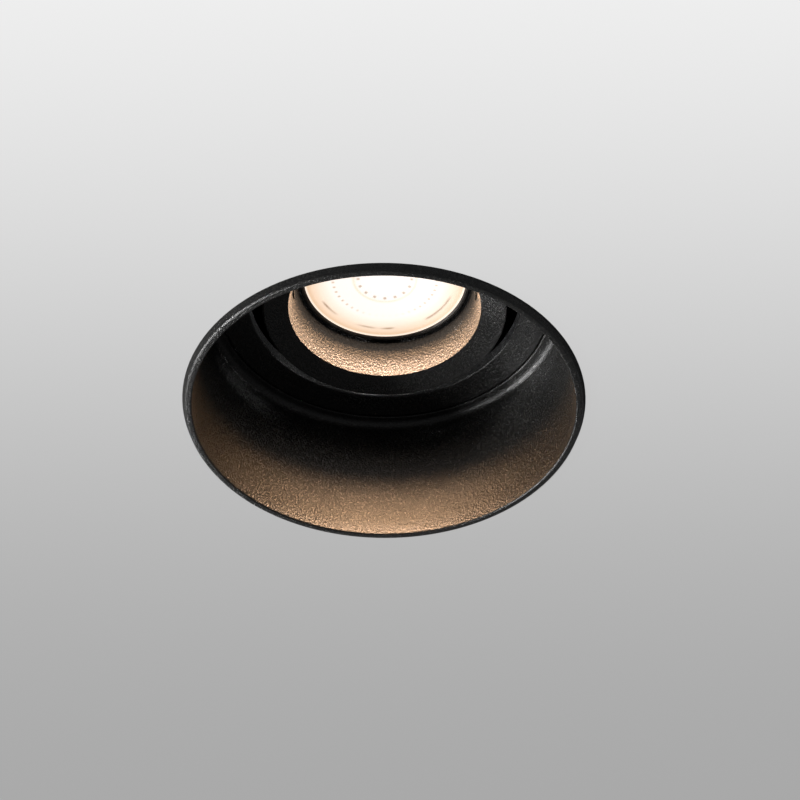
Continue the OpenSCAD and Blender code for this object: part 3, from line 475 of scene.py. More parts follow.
@dataclass(frozen=True)
class TurnedMetal:
    """Turned, drawn or plated metal with fine marks along one axis.

    Attributes:
        name: Name of the material.
        light: Colour where it is clean.
        dark: Colour where it is stained.
        roughness: Least and greatest roughness.
        mark: Width of the tool marks.
        stretch: Scale of the marks along each axis.
        mark_depth: Depth of the marks.
        stain: Size of a stain.
    """

    name: str
    light: Colour
    dark: Colour
    roughness: Pair = (0.2, 0.36)
    mark: float = 0.25 * MM
    stretch: Triple = (1.0, 1.0, 10.0)
    mark_depth: float = 0.008 * MM
    stain: float = 2.4 * MM

    def material(self) -> bpy.types.Material:
        """Build the metal.

        Returns:
            The material.
        """
        shader = Shader(self.name)
        marks = shader.noise(self.mark, 3.0, 0.6, self.stretch)
        stain = shader.noise(self.stain, 4.0, 0.6)
        wear = marks * 0.6 + stain * 0.4
        return shader.done(
            shader.surface(
                Base_Color=shader.blend(shader.span(stain, 0.35, 0.68), self.light, self.dark),
                Metallic=1.0,
                Roughness=shader.span(wear, 0.3, 0.7, *self.roughness),
                Normal=shader.bump(marks, self.mark_depth, 0.5),
            )
        )


@dataclass(frozen=True)
class Moulding:
    """Moulded or pressed matter with a fine spark texture and soft mottling.

    Attributes:
        name: Name of the material.
        body: Its main colour.
        shade: Colour of the darker mottling.
        roughness: Least and greatest roughness.
        texture: Size of the spark texture.
        depth: Depth of the spark texture.
        scatter: Share of the light that scatters below the surface.
        scatter_depth: How far that light reaches.
        mottle: Size of the mottling.
    """

    name: str
    body: Colour
    shade: Colour
    roughness: Pair = (0.38, 0.55)
    texture: float = 0.22 * MM
    depth: float = 0.02 * MM
    scatter: float = 0.0
    scatter_depth: float = 0.8 * MM
    mottle: float = 7 * MM

    def material(self) -> bpy.types.Material:
        """Build the moulding.

        Returns:
            The material.
        """
        shader = Shader(self.name)
        spark = shader.noise(self.texture, 2.0, 0.6)
        mottle = shader.noise(self.mottle, 4.0, 0.55)
        tone = shader.span(mottle * 0.75 + spark * 0.25, 0.35, 0.68)
        return shader.done(
            shader.surface(
                Base_Color=shader.blend(tone, self.body, self.shade),
                Roughness=shader.span(spark * 0.5 + mottle * 0.5, 0.3, 0.7, *self.roughness),
                Subsurface_Weight=self.scatter,
                Subsurface_Scale=self.scatter_depth,
                Normal=shader.bump(spark, self.depth, 0.7),
            )
        )


@dataclass(frozen=True)
class LensRing:
    """A circle of darker marks on the lens.

    Attributes:
        radius: Radius of the circle.
        core: Half the width of its full part.
        edge: Half its width where it has faded out.
        marks: Values of a wave round the lens between which a mark begins.
        colour: Colour of the marks.
    """

    radius: float
    core: float
    edge: float
    marks: Pair
    colour: Colour

    def mask(self, shader: Shader, distance: Socket, wave: Socket) -> Socket:
        """Find where the marks are.

        Args:
            shader: The lens's shader.
            distance: Distance from the axis of the lens.
            wave: The wave that breaks the circle into marks.

        Returns:
            1 on the marks and 0 off them.
        """
        off_circle = (distance - self.radius).math("ABSOLUTE")
        circle = shader.span(off_circle, self.core, self.edge, 1.0, 0.0)
        return circle * shader.span(wave, *self.marks)


@dataclass(frozen=True)
class LitLens:
    """Lit lamp lens: a warm glow in rings, with a ring of small dark spots about its middle.

    Attributes:
        name: Name of the material.
        radius: Radius of the lens.
        glow: Strength of its light.
        cast: Colour that its light is multiplied by.
        tones: Colours from the middle, at 0, to the edge, at 1.
        spots: The ring of dark spots.
        spot_count: Number of spots.
        dots: The dotted ring outside it.
        dot_count: Number of dots.
        dots_aside: Distances from the middle plane between which the dots grow stronger.
        arcs: The broken dark line near the edge.
        drift: Size of the pattern that breaks the line.
        strength: Strength of the spots and of the line.
    """

    name: str = "lit lens"
    radius: float = 24.1 * MM
    glow: float = 1.04
    cast: Colour = (1.1, 1.01, 1.0)
    tones: Stops = (
        (0.0, (1.0, 0.99, 0.95)),
        (0.35, (1.0, 0.98, 0.92)),
        (0.38, (0.92, 0.82, 0.66)),
        (0.41, (1.0, 0.98, 0.92)),
        (0.66, (1.0, 0.97, 0.9)),
        (0.8, (0.92, 0.82, 0.68)),
        (0.9, (0.84, 0.68, 0.5)),
        (0.95, (0.74, 0.55, 0.36)),
        (0.975, (1.0, 0.92, 0.78)),
        (1.0, (0.95, 0.8, 0.6)),
    )
    spots: LensRing = LensRing(7.8 * MM, 0.15 * MM, 0.7 * MM, (0.35, 0.85), (0.38, 0.28, 0.18))
    spot_count: int = 16
    dots: LensRing = LensRing(15.2 * MM, 0.2 * MM, 0.6 * MM, (0.1, 0.9), (0.5, 0.38, 0.26))
    dot_count: int = 48
    dots_aside: Pair = (4 * MM, 13 * MM)
    arcs: LensRing = LensRing(20.4 * MM, 0.15 * MM, 0.5 * MM, (0.44, 0.56), (0.26, 0.17, 0.1))
    drift: float = 9 * MM
    strength: float = 0.75

    def material(self) -> bpy.types.Material:
        """Build the glow.

        Returns:
            The material.
        """
        shader = Shader(self.name)
        x, y, _ = shader.axes()
        distance = (x * x + y * y) ** 0.5
        turn = y.math("ARCTAN2", x)
        spots = (turn * float(self.spot_count)).math("COSINE")
        dots = (turn * float(self.dot_count)).math("SINE")
        drift = shader.noise(self.drift, 1.0)
        aside = shader.span(x.math("ABSOLUTE"), *self.dots_aside, 0.15, self.strength)
        glow = shader.ramp(distance / self.radius, self.tones)
        for ring, wave, strength in (
            (self.spots, spots, self.strength),
            (self.dots, dots, aside),
            (self.arcs, drift, self.strength),
        ):
            glow = shader.blend(ring.mask(shader, distance, wave) * strength, glow, ring.colour)
        return shader.done(
            shader.surface(
                Base_Color=(0.6, 0.57, 0.52),
                Roughness=0.14,
                Emission_Color=shader.blend(1.0, glow, self.cast, "MULTIPLY"),
                Emission_Strength=self.glow,
                Coat_Weight=0.4,
            )
        )


@dataclass(frozen=True)
class CeilingBoardWithPaintedLight:
    """Plain ceiling board; in the camera's view its underside shows painted light that falls off
    evenly away from the near side.

    Attributes:
        name: Name of the material.
        paint: Colour of the underside in the lamps' light.
        back: Colour of the upper side in the lamps' light.
        seen_back: Tone of the upper side in the camera's view.
        kept_shadow: Share of the lamps' light that the underside shows.
        kept_behind: Share of the lamps' light that the upper side shows.
        bright: Display grey of the painted light that the underside nears on the near side, in
            the camera's view.
        dim: Display grey that it nears on the far side.
        middle: Place along Y halfway between the two.
        fall: Length over which it falls off.
        stop_count: Stops of the ramp that draws the curve.
    """

    name: str = "ceiling board"
    paint: Colour = (0.14, 0.14, 0.14)
    back: Colour = (0.6, 0.6, 0.6)
    seen_back: Colour = (0.72, 0.72, 0.72)
    kept_shadow: float = 0.08
    kept_behind: float = 0.35
    bright: float = 267.0
    dim: float = 170.5
    middle: float = -47 * MM
    fall: float = 71 * MM
    stop_count: int = 17

    def tone(self, y: float) -> Colour:
        """Return the painted light of the underside at a place along Y."""
        share = 1 / (1 + math.exp((y - self.middle) / self.fall))
        return grey(self.dim + (self.bright - self.dim) * share)

    def material(self, near: float, far: float) -> bpy.types.Material:
        """Build the board's finish.

        Args:
            near: Place along Y where the ramp starts.
            far: Place along Y where it ends.

        Returns:
            The material.
        """
        shader = Shader(self.name)
        _, y, _ = shader.axes()
        parts = [i / (self.stop_count - 1) for i in range(self.stop_count)]
        stops = [(part, self.tone(near + part * (far - near))) for part in parts]
        # Painted light: the camera sees the underside as an emitted falloff, bright on the near
        # side and dim on the far side, standing in for how the lamps light it.
        tone = shader.ramp(shader.span(y, near, far), stops)
        below = shader.node("ShaderNodeNewGeometry", output="Backfacing")
        seen = shader.blend(below, self.seen_back, tone)
        light = shader.node("ShaderNodeEmission", inputs={"Color": seen, "Strength": 1.0})
        paint = shader.blend(below, self.back, self.paint)
        board = shader.surface(Base_Color=paint, Roughness=0.9)
        shown = shader.span(below, 0.0, 1.0, 1 - self.kept_behind, 1 - self.kept_shadow)
        inputs = dict(enumerate((shader.seen_by_camera() * shown, board, light)))
        return shader.done(shader.node("ShaderNodeMixShader", inputs=inputs))


class Finish(Enum):
    """Finishes of the part, by the record's slot name where it has one."""

    BLACK_COAT = "black_coat"
    DARK_BEZEL = "dark_bezel"
    BLACK_ZINC = "black_zinc"
    ZINC_SHEET = "zinc_sheet"
    STEEL = "steel"
    SPRING_STEEL = "spring_steel"
    BRASS = "brass"
    CERAMIC = "ceramic"
    WHITE_PLASTIC = "white_plastic"
    RUBBER = "rubber"
    LAMP_ALUMINIUM = "lamp_aluminium"
    LAMP_GLASS = "lamp_glass"
    LED_BOARD = "led_board"


Maker = PowderCoat | ZincSheet | TurnedMetal | Moulding | LitLens


class Palette:
    """The finished materials, each made once.

    Attributes:
        MAKERS: What makes each finish.
    """

    MAKERS: dict[Finish, Maker] = {
        Finish.BLACK_COAT: PowderCoat(),
        Finish.ZINC_SHEET: ZincSheet(),
        Finish.BLACK_ZINC: ZincSheet(
            name="black zinc plate",
            bright=(0.06, 0.06, 0.063),
            dull=(0.035, 0.035, 0.037),
            spangle=3.4 * MM,
            roughness=(0.34, 0.52),
        ),
        Finish.STEEL: TurnedMetal("plated steel", (0.6, 0.61, 0.62), (0.4, 0.41, 0.43)),
        Finish.SPRING_STEEL: TurnedMetal(
            name="drawn spring wire",
            light=(0.5, 0.51, 0.53),
            dark=(0.3, 0.3, 0.32),
            roughness=(0.18, 0.34),
            mark=0.15 * MM,
            stretch=(8.0, 1.0, 1.0),
        ),
        Finish.BRASS: TurnedMetal("turned brass", (0.78, 0.58, 0.26), (0.5, 0.35, 0.15)),
        Finish.CERAMIC: Moulding(
            name="unglazed steatite",
            body=(0.8, 0.76, 0.67),
            shade=(0.68, 0.63, 0.53),
            roughness=(0.6, 0.8),
            texture=0.35 * MM,
            depth=0.03 * MM,
        ),
        Finish.WHITE_PLASTIC: Moulding(
            name="white moulding",
            body=(0.82, 0.81, 0.78),
            shade=(0.74, 0.73, 0.69),
            roughness=(0.35, 0.5),
            scatter=0.1,
        ),
        Finish.RUBBER: Moulding(
            name="grommet rubber",
            body=(0.028, 0.028, 0.03),
            shade=(0.045, 0.045, 0.047),
            roughness=(0.62, 0.8),
            texture=0.3 * MM,
        ),
        Finish.LAMP_ALUMINIUM: TurnedMetal(
            name="satin aluminium",
            light=(0.72, 0.72, 0.73),
            dark=(0.55, 0.55, 0.57),
            roughness=(0.36, 0.5),
            mark=0.3 * MM,
            stretch=(1.0, 1.0, 6.0),
        ),
        Finish.DARK_BEZEL: TurnedMetal(
            name="dark lamp bezel",
            light=(0.16, 0.15, 0.14),
            dark=(0.1, 0.094, 0.088),
            roughness=(0.42, 0.58),
            mark=0.3 * MM,
            stretch=(1.0, 1.0, 6.0),
        ),
        Finish.LAMP_GLASS: LitLens(),
        Finish.LED_BOARD: Moulding(
            name="lit board",
            body=(0.95, 0.8, 0.45),
            shade=(0.9, 0.7, 0.35),
            roughness=(0.3, 0.45),
        ),
    }

    def __init__(self) -> None:
        """Build every finish."""
        self.materials: dict[Finish, bpy.types.Material] = {
            finish: maker.material() for finish, maker in self.MAKERS.items()
        }

    def dress(self, piece: bpy.types.Object, finish: Finish) -> None:
        """Give a piece one finish all over.

        Args:
            piece: The piece.
            finish: Its finish.
        """
        if not piece.data.materials:
            piece.data.materials.append(None)
        for slot in piece.material_slots:
            slot.material = self.materials[finish]

    def dress_nodes(self, finish: Finish, nodes: Sequence[str]) -> None:
        """Give nodes of the frame a finish.

        Args:
            finish: Their finish.
            nodes: The nodes' names.
        """
        for name in nodes:
            self.dress(frame["nodes"][name], finish)
            LOG.info("%s: %s", name, finish.value)


class Bench:
    """Modelling by operators, as on a bench: one piece at a time."""

    @staticmethod
    def clear() -> None:
        """Leave edit mode and deselect every object."""
        if bpy.context.object is not None and bpy.context.object.mode != "OBJECT":
            bpy.ops.object.mode_set(mode="OBJECT")
        bpy.ops.object.select_all(action="DESELECT")

    @staticmethod
    def settle(piece: bpy.types.Object, name: str, angle: float) -> bpy.types.Object:
        """Finish a piece: apply its modifiers and place, smooth it and name it.

        Args:
            piece: The piece.
            name: Its name.
            angle: Greatest angle that is smoothed, in degrees.

        Returns:
            The piece.
        """
        Bench.clear()
        piece.select_set(True)
        bpy.context.view_layer.objects.active = piece
        for modifier in list(piece.modifiers):
            bpy.ops.object.modifier_apply(modifier=modifier.name)
        bpy.ops.object.transform_apply(location=True, rotation=True, scale=True)
        bpy.ops.object.shade_smooth_by_angle(angle=math.radians(angle))
        piece.name = name
        piece.data.name = name
        return piece


@dataclass
class Housing:
    """The cast cup and what is fixed to its shelf.

    Attributes:
        coated: Nodes in black powder coat.
        sheet: Nodes of zinc-plated sheet.
        fixings: Steel screws and pins.
    """

    coated: tuple[str, ...] = ("housing",)
    sheet: tuple[str, ...] = (
        "retaining_tab_1",
        "retaining_tab_2",
        "retaining_tab_3",
        "clip_bracket_left",
        "clip_bracket_right",
    )
    fixings: tuple[str, ...] = ("tab_screws", "clip_screws", "clip_pin_left", "clip_pin_right")

    def dress(self, palette: Palette) -> None:
        """Give the pieces their finishes.

        Args:
            palette: The finished materials.
        """
        palette.dress_nodes(Finish.BLACK_COAT, self.coated)
        palette.dress_nodes(Finish.ZINC_SHEET, self.sheet)
        palette.dress_nodes(Finish.STEEL, self.fixings)


@dataclass
class Gimbal:
    """The ring that pans, its brackets and the carrier that tilts in them.

    Attributes:
        coated: Nodes in black powder coat.
        blackened: Nodes in black zinc.
        sheet: Nodes of zinc-plated sheet.
        fixings: Steel screws and nuts.
    """

    coated: tuple[str, ...] = ("pan_ring", "lamp_carrier")
    blackened: tuple[str, ...] = (
        "pivot_bracket_left",
        "pivot_bracket_right",
        "pivot_pin_left",
        "pivot_pin_right",
        "pivot_washer_left",
        "pivot_washer_right",
    )
    sheet: tuple[str, ...] = ("lampholder_strap",)
    fixings: tuple[str, ...] = (
        "pivot_bracket_screws",
        "strap_screws",
        "holder_screws",
        "holder_nuts",
    )

    def dress(self, palette: Palette) -> None:
        """Give the pieces their finishes.

        Args:
            palette: The finished materials.
        """
        palette.dress_nodes(Finish.BLACK_COAT, self.coated)
        palette.dress_nodes(Finish.BLACK_ZINC, self.blackened)
        palette.dress_nodes(Finish.ZINC_SHEET, self.sheet)
        palette.dress_nodes(Finish.STEEL, self.fixings)


@dataclass
class Wiring:
    """The lampholder, its contacts and the terminal box.

    Attributes:
        ceramic: Nodes of ceramic.
        brass: Contacts and screws of brass.
        plastic: White moulded nodes.
        rubber: The cable's grommet.
        fixings: The steel hinge pin.
    """

    ceramic: tuple[str, ...] = ("lampholder",)
    brass: tuple[str, ...] = ("lampholder_contacts", "terminal_screws", "earth_screw")
    plastic: tuple[str, ...] = ("terminal_tray", "terminal_lid", "terminal_block")
    rubber: tuple[str, ...] = ("cable_grommet",)
    fixings: tuple[str, ...] = ("lid_hinge_pin",)

    def dress(self, palette: Palette) -> None:
        """Give the pieces their finishes.

        Args:
            palette: The finished materials.
        """
        palette.dress_nodes(Finish.CERAMIC, self.ceramic)
        palette.dress_nodes(Finish.BRASS, self.brass)
        palette.dress_nodes(Finish.WHITE_PLASTIC, self.plastic)
        palette.dress_nodes(Finish.RUBBER, self.rubber)
        palette.dress_nodes(Finish.STEEL, self.fixings)


@dataclass(frozen=True)
class Beam:
    """Part of the light that the lamp throws.

    Attributes:
        name: Name of the light.
        spread: Full angle of the beam, in degrees.
        power: Power in watts.
        colour: Colour of the light.
    """

    name: str
    spread: float
    power: float
    colour: Colour


@dataclass
class Lamp:
    """The reflector lamp with its ringed lens.

    Attributes:
        lens_radius: Radius of the lens.
        lens_height: Height of its front face.
        lens_thickness: Thickness of the lens.
        lens_facets: Straight sides of its edge.
        centre_radius: Radius of the plain middle inside the rings.
        centre_rise: Width of the slope round the middle, as a share of its radius.
        ring_count: Number of raised rings.
        ring_rise: Depth of a ring.
        smooth_angle: Greatest angle that is smoothed, in degrees.
        beam_width: Diameter of the lit disc that throws the beams.
        beam_drop: How far that disc lies below the lens.
        beams: The beams.
    """

    lens_radius: float = 24.1 * MM
    lens_height: float = 50.7 * MM
    lens_thickness: float = 1.6 * MM
    lens_facets: int = 128
    centre_radius: float = 6.2 * MM
    centre_rise: float = 0.45
    ring_count: int = 7
    ring_rise: float = 0.16 * MM
    smooth_angle: float = 20.0
    beam_width: float = 46.0 * MM
    beam_drop: float = 1.3 * MM
    beams: tuple[Beam, ...] = (
        Beam("lamp_beam_wide", 111.0, 0.14, (1.0, 0.6, 0.325)),
        Beam("lamp_beam_core", 72.0, 3.0, (1.0, 0.68, 0.49)),
    )

    def lens(self) -> bpy.types.Object:
        """Model the lens as a disc of raised rings.

        Returns:
            The lens.
        """
        Bench.clear()
        bpy.ops.mesh.primitive_circle_add(
            vertices=self.lens_facets,
            radius=self.lens_radius,
            fill_type="NGON",
            location=(0, 0, self.lens_height),
        )
        piece = bpy.context.object
        bpy.ops.object.mode_set(mode="EDIT")
        bpy.ops.mesh.select_all(action="SELECT")
        half_pitch = (self.lens_radius - self.centre_radius) / self.ring_count * 0.5
        for _ in range(self.ring_count):
            bpy.ops.mesh.inset(thickness=half_pitch)
            bpy.ops.transform.translate(value=(0, 0, self.ring_rise))
            bpy.ops.mesh.inset(thickness=half_pitch)
            bpy.ops.transform.translate(value=(0, 0, -self.ring_rise))
        bpy.ops.mesh.inset(thickness=self.centre_radius * self.centre_rise)
        bpy.ops.transform.translate(value=(0, 0, self.ring_rise * 2))
        bpy.ops.mesh.select_all(action="SELECT")
        bpy.ops.mesh.flip_normals()
        bpy.ops.object.mode_set(mode="OBJECT")
        wall = piece.modifiers.new("wall", "SOLIDIFY")
        wall.thickness = self.lens_thickness
        wall.offset = -1.0
        return Bench.settle(piece, "lens_front", self.smooth_angle)

    def shine(self) -> None:
        """Put the light that the lamp throws just below the lens, riding on the lamp."""
        for beam in self.beams:
            data = bpy.data.lights.new(beam.name, "AREA")
            data.shape = "DISK"
            data.size = self.beam_width
            data.spread = math.radians(beam.spread)
            data.energy = beam.power
            data.color = beam.colour
            light = bpy.data.objects.new(beam.name, data)
            light.location = (0, 0, self.lens_height - self.beam_drop)
            light.visible_camera = False
            light.parent = frame["bodies"]["lamp"]
            bpy.context.scene.collection.objects.link(light)

    def dress(self, palette: Palette) -> None:
        """Model the lens, light it and give the lamp its finishes.

        Args:
            palette: The finished materials.
        """
        palette.dress_nodes(Finish.LAMP_ALUMINIUM, ("lamp_body",))
        palette.dress_nodes(Finish.DARK_BEZEL, ("lamp_bezel",))
        palette.dress_nodes(Finish.WHITE_PLASTIC, ("lamp_base",))
        palette.dress_nodes(Finish.STEEL, ("lamp_pins",))
        palette.dress_nodes(Finish.LED_BOARD, ("lamp_module",))
        lens = self.lens()
        palette.dress(lens, Finish.LAMP_GLASS)
        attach(lens, "lamp")
        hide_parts("lamp_lens")
        LOG.info("lens_front: %d faces", len(lens.data.polygons))
        self.shine()


@dataclass
class CeilingClip:
    """One wire clip: two coils on a pin, joined by a bail.

    Attributes:
        name: Name of the wire.
        body: The moving body that it rides on.
        node: The node that it replaces.
        side: 1 for the clip at +X and -1 for the one at -X.
        axis_x: Distance of the pin from the middle of the light.
        axis_z: Height of the pin.
        wire_radius: Radius of the wire.
        coil_radius: Middle radius of the coils.
        coil_pitch: Distance between neighbouring turns.
        turns: Full turns in each coil.
        leg_angle: Further angle of the coil up to its short leg, in degrees.
        leg_length: Length of the short leg.
        half_width: Half the width of the bail.
        bail_length: Length of the bail from the coils to its tip.
        bail_angle: Angle of the bail below the horizontal, in degrees.
        bail_places: Points along the bail's straight sides, as shares of its length.
        bend_step: Angle between points in the bail's bend, in degrees.
        steps: Points in one turn of a coil.
        roundness: Extra points in a quarter of the wire's section.
        smooth_angle: Greatest angle that is smoothed, in degrees.
    """

    name: str
    body: str
    node: str
    side: float
    axis_x: float = 47.0 * MM
    axis_z: float = 50.5 * MM
    wire_radius: float = 0.8 * MM
    coil_radius: float = 2.9 * MM
    coil_pitch: float = 2.2 * MM
    turns: int = 2
    leg_angle: float = 190.0
    leg_length: float = 2.6 * MM
    half_width: float = 8.0 * MM
    bail_length: float = 60.0 * MM
    bail_angle: float = 50.0
    bail_places: tuple[float, ...] = (0.2, 0.4, 0.6, 0.75)
    bend_step: int = 10
    steps: int = 28
    roundness: int = 3
    smooth_angle: float = 50.0

    def _coil_point(self, angle: float, y: float) -> Vector:
        """Return a point of the coil.

        Args:
            angle: Angle round the pin, in radians.
            y: Distance from the middle of the clip.

        Returns:
            The point.
        """
        x = self.axis_x + self.coil_radius * math.cos(angle)
        return Vector((x, y, self.axis_z + self.coil_radius * math.sin(angle)))

    def _bail_point(self, length: float, y: float) -> Vector:
        """Return a point of the bail.

        Args:
            length: Distance from the coils along the bail.
            y: Distance from the middle of the clip.

        Returns:
            The point.
        """
        fall = math.radians(self.bail_angle)
        x = self.axis_x + self.coil_radius * math.sin(fall) + length * math.cos(fall)
        z = self.axis_z + self.coil_radius * math.cos(fall) - length * math.sin(fall)
        return Vector((x, y, z))

    def _half(self) -> list[Vector]:
        """Route the wire from a short leg to the middle of the bail.

        Returns:
            The points of its middle line.
        """
        first = math.radians(90 - self.bail_angle)
        last = math.radians(self.leg_angle + 360 * self.turns)
        turned = (last - first) / (2 * math.pi)
        rise = turned * self.coil_pitch
        end = self._coil_point(last, self.half_width - rise)
        way = Vector((-math.sin(last), 0, math.cos(last)))
        points = [end + way * self.leg_length, end + way * self.leg_length / 2]
        count = round(turned * self.steps)
        for i in range(count, -1, -1):
            part = i / count
            angle = first + part * (last - first)
            points.append(self._coil_point(angle, self.half_width - part * rise))
        for part in self.bail_places:
            points.append(self._bail_point(self.bail_length * part, self.half_width))
        bend_start = self.bail_length - self.half_width
        for degrees in range(0, 91, self.bend_step):
            bend = math.radians(degrees)
            reach = bend_start + self.half_width * math.sin(bend)
            points.append(self._bail_point(reach, self.half_width * math.cos(bend)))
        return points

    def wire(self) -> bpy.types.Object:
        """Model the wire as one round tube along its middle line.

        Returns:
            The wire.
        """
        half = self._half()
        path = half + [Vector((p.x, -p.y, p.z)) for p in reversed(half[:-1])]
        curve = bpy.data.curves.new(self.name, "CURVE")
        curve.dimensions = "3D"
        curve.twist_mode = "MINIMUM"
        curve.bevel_depth = self.wire_radius
        curve.bevel_resolution = self.roundness
        curve.use_fill_caps = True
        spline = curve.splines.new("POLY")
        spline.points.add(len(path) - 1)
        for point, place in zip(spline.points, path):
            point.co = (place.x * self.side, place.y * self.side, place.z, 1.0)
        piece = bpy.data.objects.new(self.name, curve)
        bpy.context.scene.collection.objects.link(piece)
        Bench.clear()
        piece.select_set(True)
        bpy.context.view_layer.objects.active = piece
        bpy.ops.object.convert(target="MESH")
        return Bench.settle(bpy.context.object, self.name, self.smooth_angle)

    def dress(self, palette: Palette) -> None:
        """Model the wire and give it its finish.

        Args:
            palette: The finished materials.
        """
        piece = self.wire()
        palette.dress(piece, Finish.SPRING_STEEL)
        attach(piece, self.body)
        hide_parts(self.node)
        LOG.info("%s: %d faces", self.name, len(piece.data.polygons))


@dataclass
class Ceiling:
    """The soffit board that the light is set in.

    Attributes:
        half_size: Distance from the middle to the edge of the board.
        hole_radius: Radius of the cut-out.
        facets: Straight sides of the cut-out.
        near: Place along Y where the painted light on the underside starts.
        far: Place along Y where it ends.
    """

    half_size: float = 2.4
    hole_radius: float = 54.0 * MM
    facets: int = 192
    near: float = -0.14
    far: float = 0.2

    def build(self) -> None:
        """Model the board as a plane with the cut-out in it."""
        Bench.clear()
        bpy.ops.mesh.primitive_circle_add(
            vertices=self.facets, radius=self.hole_radius, fill_type="NOTHING"
        )
        board = bpy.context.object
        bpy.ops.object.mode_set(mode="EDIT")
        bpy.ops.mesh.select_all(action="SELECT")
        bpy.ops.mesh.extrude_region_move()
        grow = self.half_size / self.hole_radius
        bpy.ops.transform.resize(value=(grow, grow, 1.0))
        bpy.ops.mesh.select_all(action="SELECT")
        bpy.ops.mesh.normals_make_consistent(inside=False)
        bpy.ops.object.mode_set(mode="OBJECT")
        board.name = "ceiling"
        board.data.materials.append(CeilingBoardWithPaintedLight().material(self.near, self.far))
        LOG.info("ceiling: hole of %.0f mm", 2 * self.hole_radius / MM)


@dataclass(frozen=True)
class Softbox:
    """One area light.

    Attributes:
        name: Name of the light.
        place: Its place.
        target: The point that it faces.
        size: Its width and height.
        power: Power in watts.
        spread: Full angle of its beam, in degrees.
    """

    name: str
    place: Triple
    target: Triple
    size: Pair
    power: float
    spread: float = 180.0

    def build(self) -> None:
        """Add the light, turned towards its target."""
        data = bpy.data.lights.new(self.name, "AREA")
        data.shape = "RECTANGLE"
        data.size, data.size_y = self.size
        data.energy = self.power
        data.spread = math.radians(self.spread)
        light = bpy.data.objects.new(self.name, data)
        light.location = self.place
        way = Vector(self.target) - Vector(self.place)
        light.rotation_mode = "QUATERNION"
        light.rotation_quaternion = way.to_track_quat("-Z", "Y")
        bpy.context.scene.collection.objects.link(light)


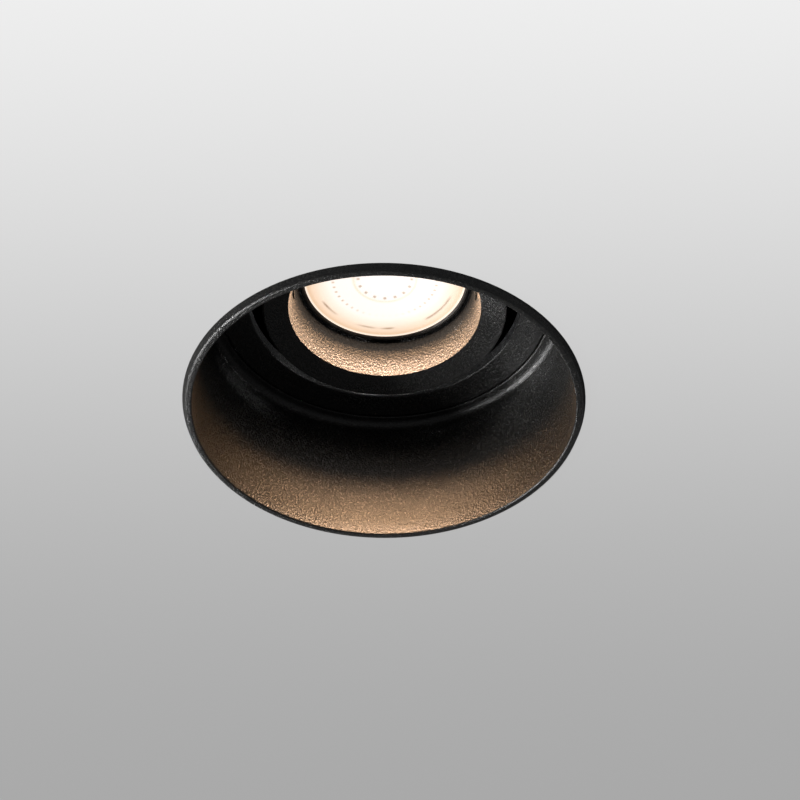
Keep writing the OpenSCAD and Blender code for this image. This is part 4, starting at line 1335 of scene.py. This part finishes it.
@dataclass
class Studio:
    """Lights, world and camera.

    Attributes:
        camera_place: Place of the camera.
        rise: Angle of its view above the horizontal, in degrees.
        yaw: Angle of its view from +Y towards +X, in degrees.
        roll: Angle that it is turned about its view, in degrees.
        lens: Focal length in millimetres.
        sensor: Sensor width in millimetres.
        clip_start: Distance from which the camera sees.
        sky: Colour of the world.
        floor_strength: Strength of the world below the horizon.
        side_strength: Strength of the world at the horizon.
        void_strength: Strength of the world overhead, in the roof void.
        seen_strength: Strength of the world in the camera's view.
        horizon: Heights between which the floor gives way to the sides.
        roof: Heights between which the sides give way to the void.
        seen_end: Heights between which the seen backdrop ends.
        lights: The lamps.
    """

    camera_place: Triple = (0.00055, -0.4051, -0.3673)
    rise: float = 42.45
    yaw: float = 0.54
    roll: float = -0.03
    lens: float = 90.0
    sensor: float = 36.0
    clip_start: float = 10 * MM
    sky: Colour = (0.96, 0.98, 1.0)
    floor_strength: float = 0.1
    side_strength: float = 0.8
    void_strength: float = 0.05
    seen_strength: float = 0.8
    horizon: Pair = (-0.12, 0.0)
    roof: Pair = (0.1, 0.25)
    seen_end: Pair = (0.38, 0.5)
    lights: tuple[Softbox, ...] = (
        Softbox("left", (-0.75, 0.1, -0.65), (0, 0, 0.02), (0.1, 0.1), 3.4),
        Softbox("left_low", (-0.87, 0.12, -0.47), (0, 0, 0.02), (0.07, 0.07), 7.5),
        Softbox("left_far", (-0.58, 0.32, -0.68), (0, 0, 0.02), (0.12, 0.12), 0.9),
        Softbox("far_left", (-0.43, 0.72, -0.52), (0, 0, 0.0), (0.08, 0.08), 1.4),
        Softbox("above", (0.0, -0.02, 1.3), (0, 0, 0.06), (0.16, 0.16), 11.0),
        Softbox("side_left", (-1.45, -1.15, 0.3), (0, 0, 0.06), (0.8, 0.45), 2.2, 50.0),
        Softbox("side_right", (1.7, 0.15, 0.3), (0, 0, 0.06), (0.8, 0.45), 1.9, 50.0),
        Softbox("side_back", (-0.3, 1.75, 0.3), (0, 0, 0.06), (0.8, 0.45), 1.9, 50.0),
    )

    def camera(self) -> None:
        """Place the camera below the ceiling, looking up at the light."""
        rise, yaw, roll = (math.radians(angle) for angle in (self.rise, self.yaw, self.roll))
        level = math.cos(rise)
        ahead = Vector((math.sin(yaw) * level, math.cos(yaw) * level, math.sin(rise)))
        right = Vector((math.cos(yaw), -math.sin(yaw), 0))
        up = right.cross(ahead)
        turned_right = right * math.cos(roll) + up * math.sin(roll)
        turned_up = up * math.cos(roll) - right * math.sin(roll)
        data = bpy.data.cameras.new("camera")
        data.lens, data.sensor_width = self.lens, self.sensor
        data.clip_start = self.clip_start
        camera = bpy.data.objects.new("camera", data)
        turn = Matrix((turned_right, turned_up, -ahead)).transposed()
        camera.matrix_world = Matrix.Translation(self.camera_place) @ turn.to_4x4()
        bpy.context.scene.collection.objects.link(camera)
        bpy.context.scene.camera = camera

    def world(self) -> None:
        """Give the world a dim floor side, a pale band at the sides and a dark roof void."""
        shader = Shader("studio", for_world=True)
        _, _, height = shader.axes()
        rising = shader.span(height, *self.horizon, self.floor_strength, self.side_strength)
        void = shader.span(height, *self.roof)
        light = rising * (1.0 - void) + void * self.void_strength
        seen = shader.span(height, *self.seen_end, self.seen_strength, 0.0)
        strength = light + (seen - light) * shader.seen_by_camera()
        inputs = {"Color": self.sky, "Strength": strength}
        bpy.context.scene.world = shader.done(shader.node("ShaderNodeBackground", inputs=inputs))

    def build(self) -> None:
        """Make the lights, the world and the camera."""
        for light in self.lights:
            light.build()
        self.world()
        self.camera()
        bpy.context.scene.view_settings.view_transform = "Standard"


def main() -> None:
    """Build the looks of every sub-assembly, then the stage round them."""
    logging.basicConfig(level=logging.INFO, format="%(name)s: %(message)s")
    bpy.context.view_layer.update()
    palette = Palette()
    for assembly in (
        Housing(),
        Gimbal(),
        Wiring(),
        Lamp(),
        CeilingClip("clip_wire_right", "clip_right", "clip_spring_right", 1.0),
        CeilingClip("clip_wire_left", "clip_left", "clip_spring_left", -1.0),
    ):
        assembly.dress(palette)
    Ceiling().build()
    Studio().build()


if __name__ == "__main__":
    main()
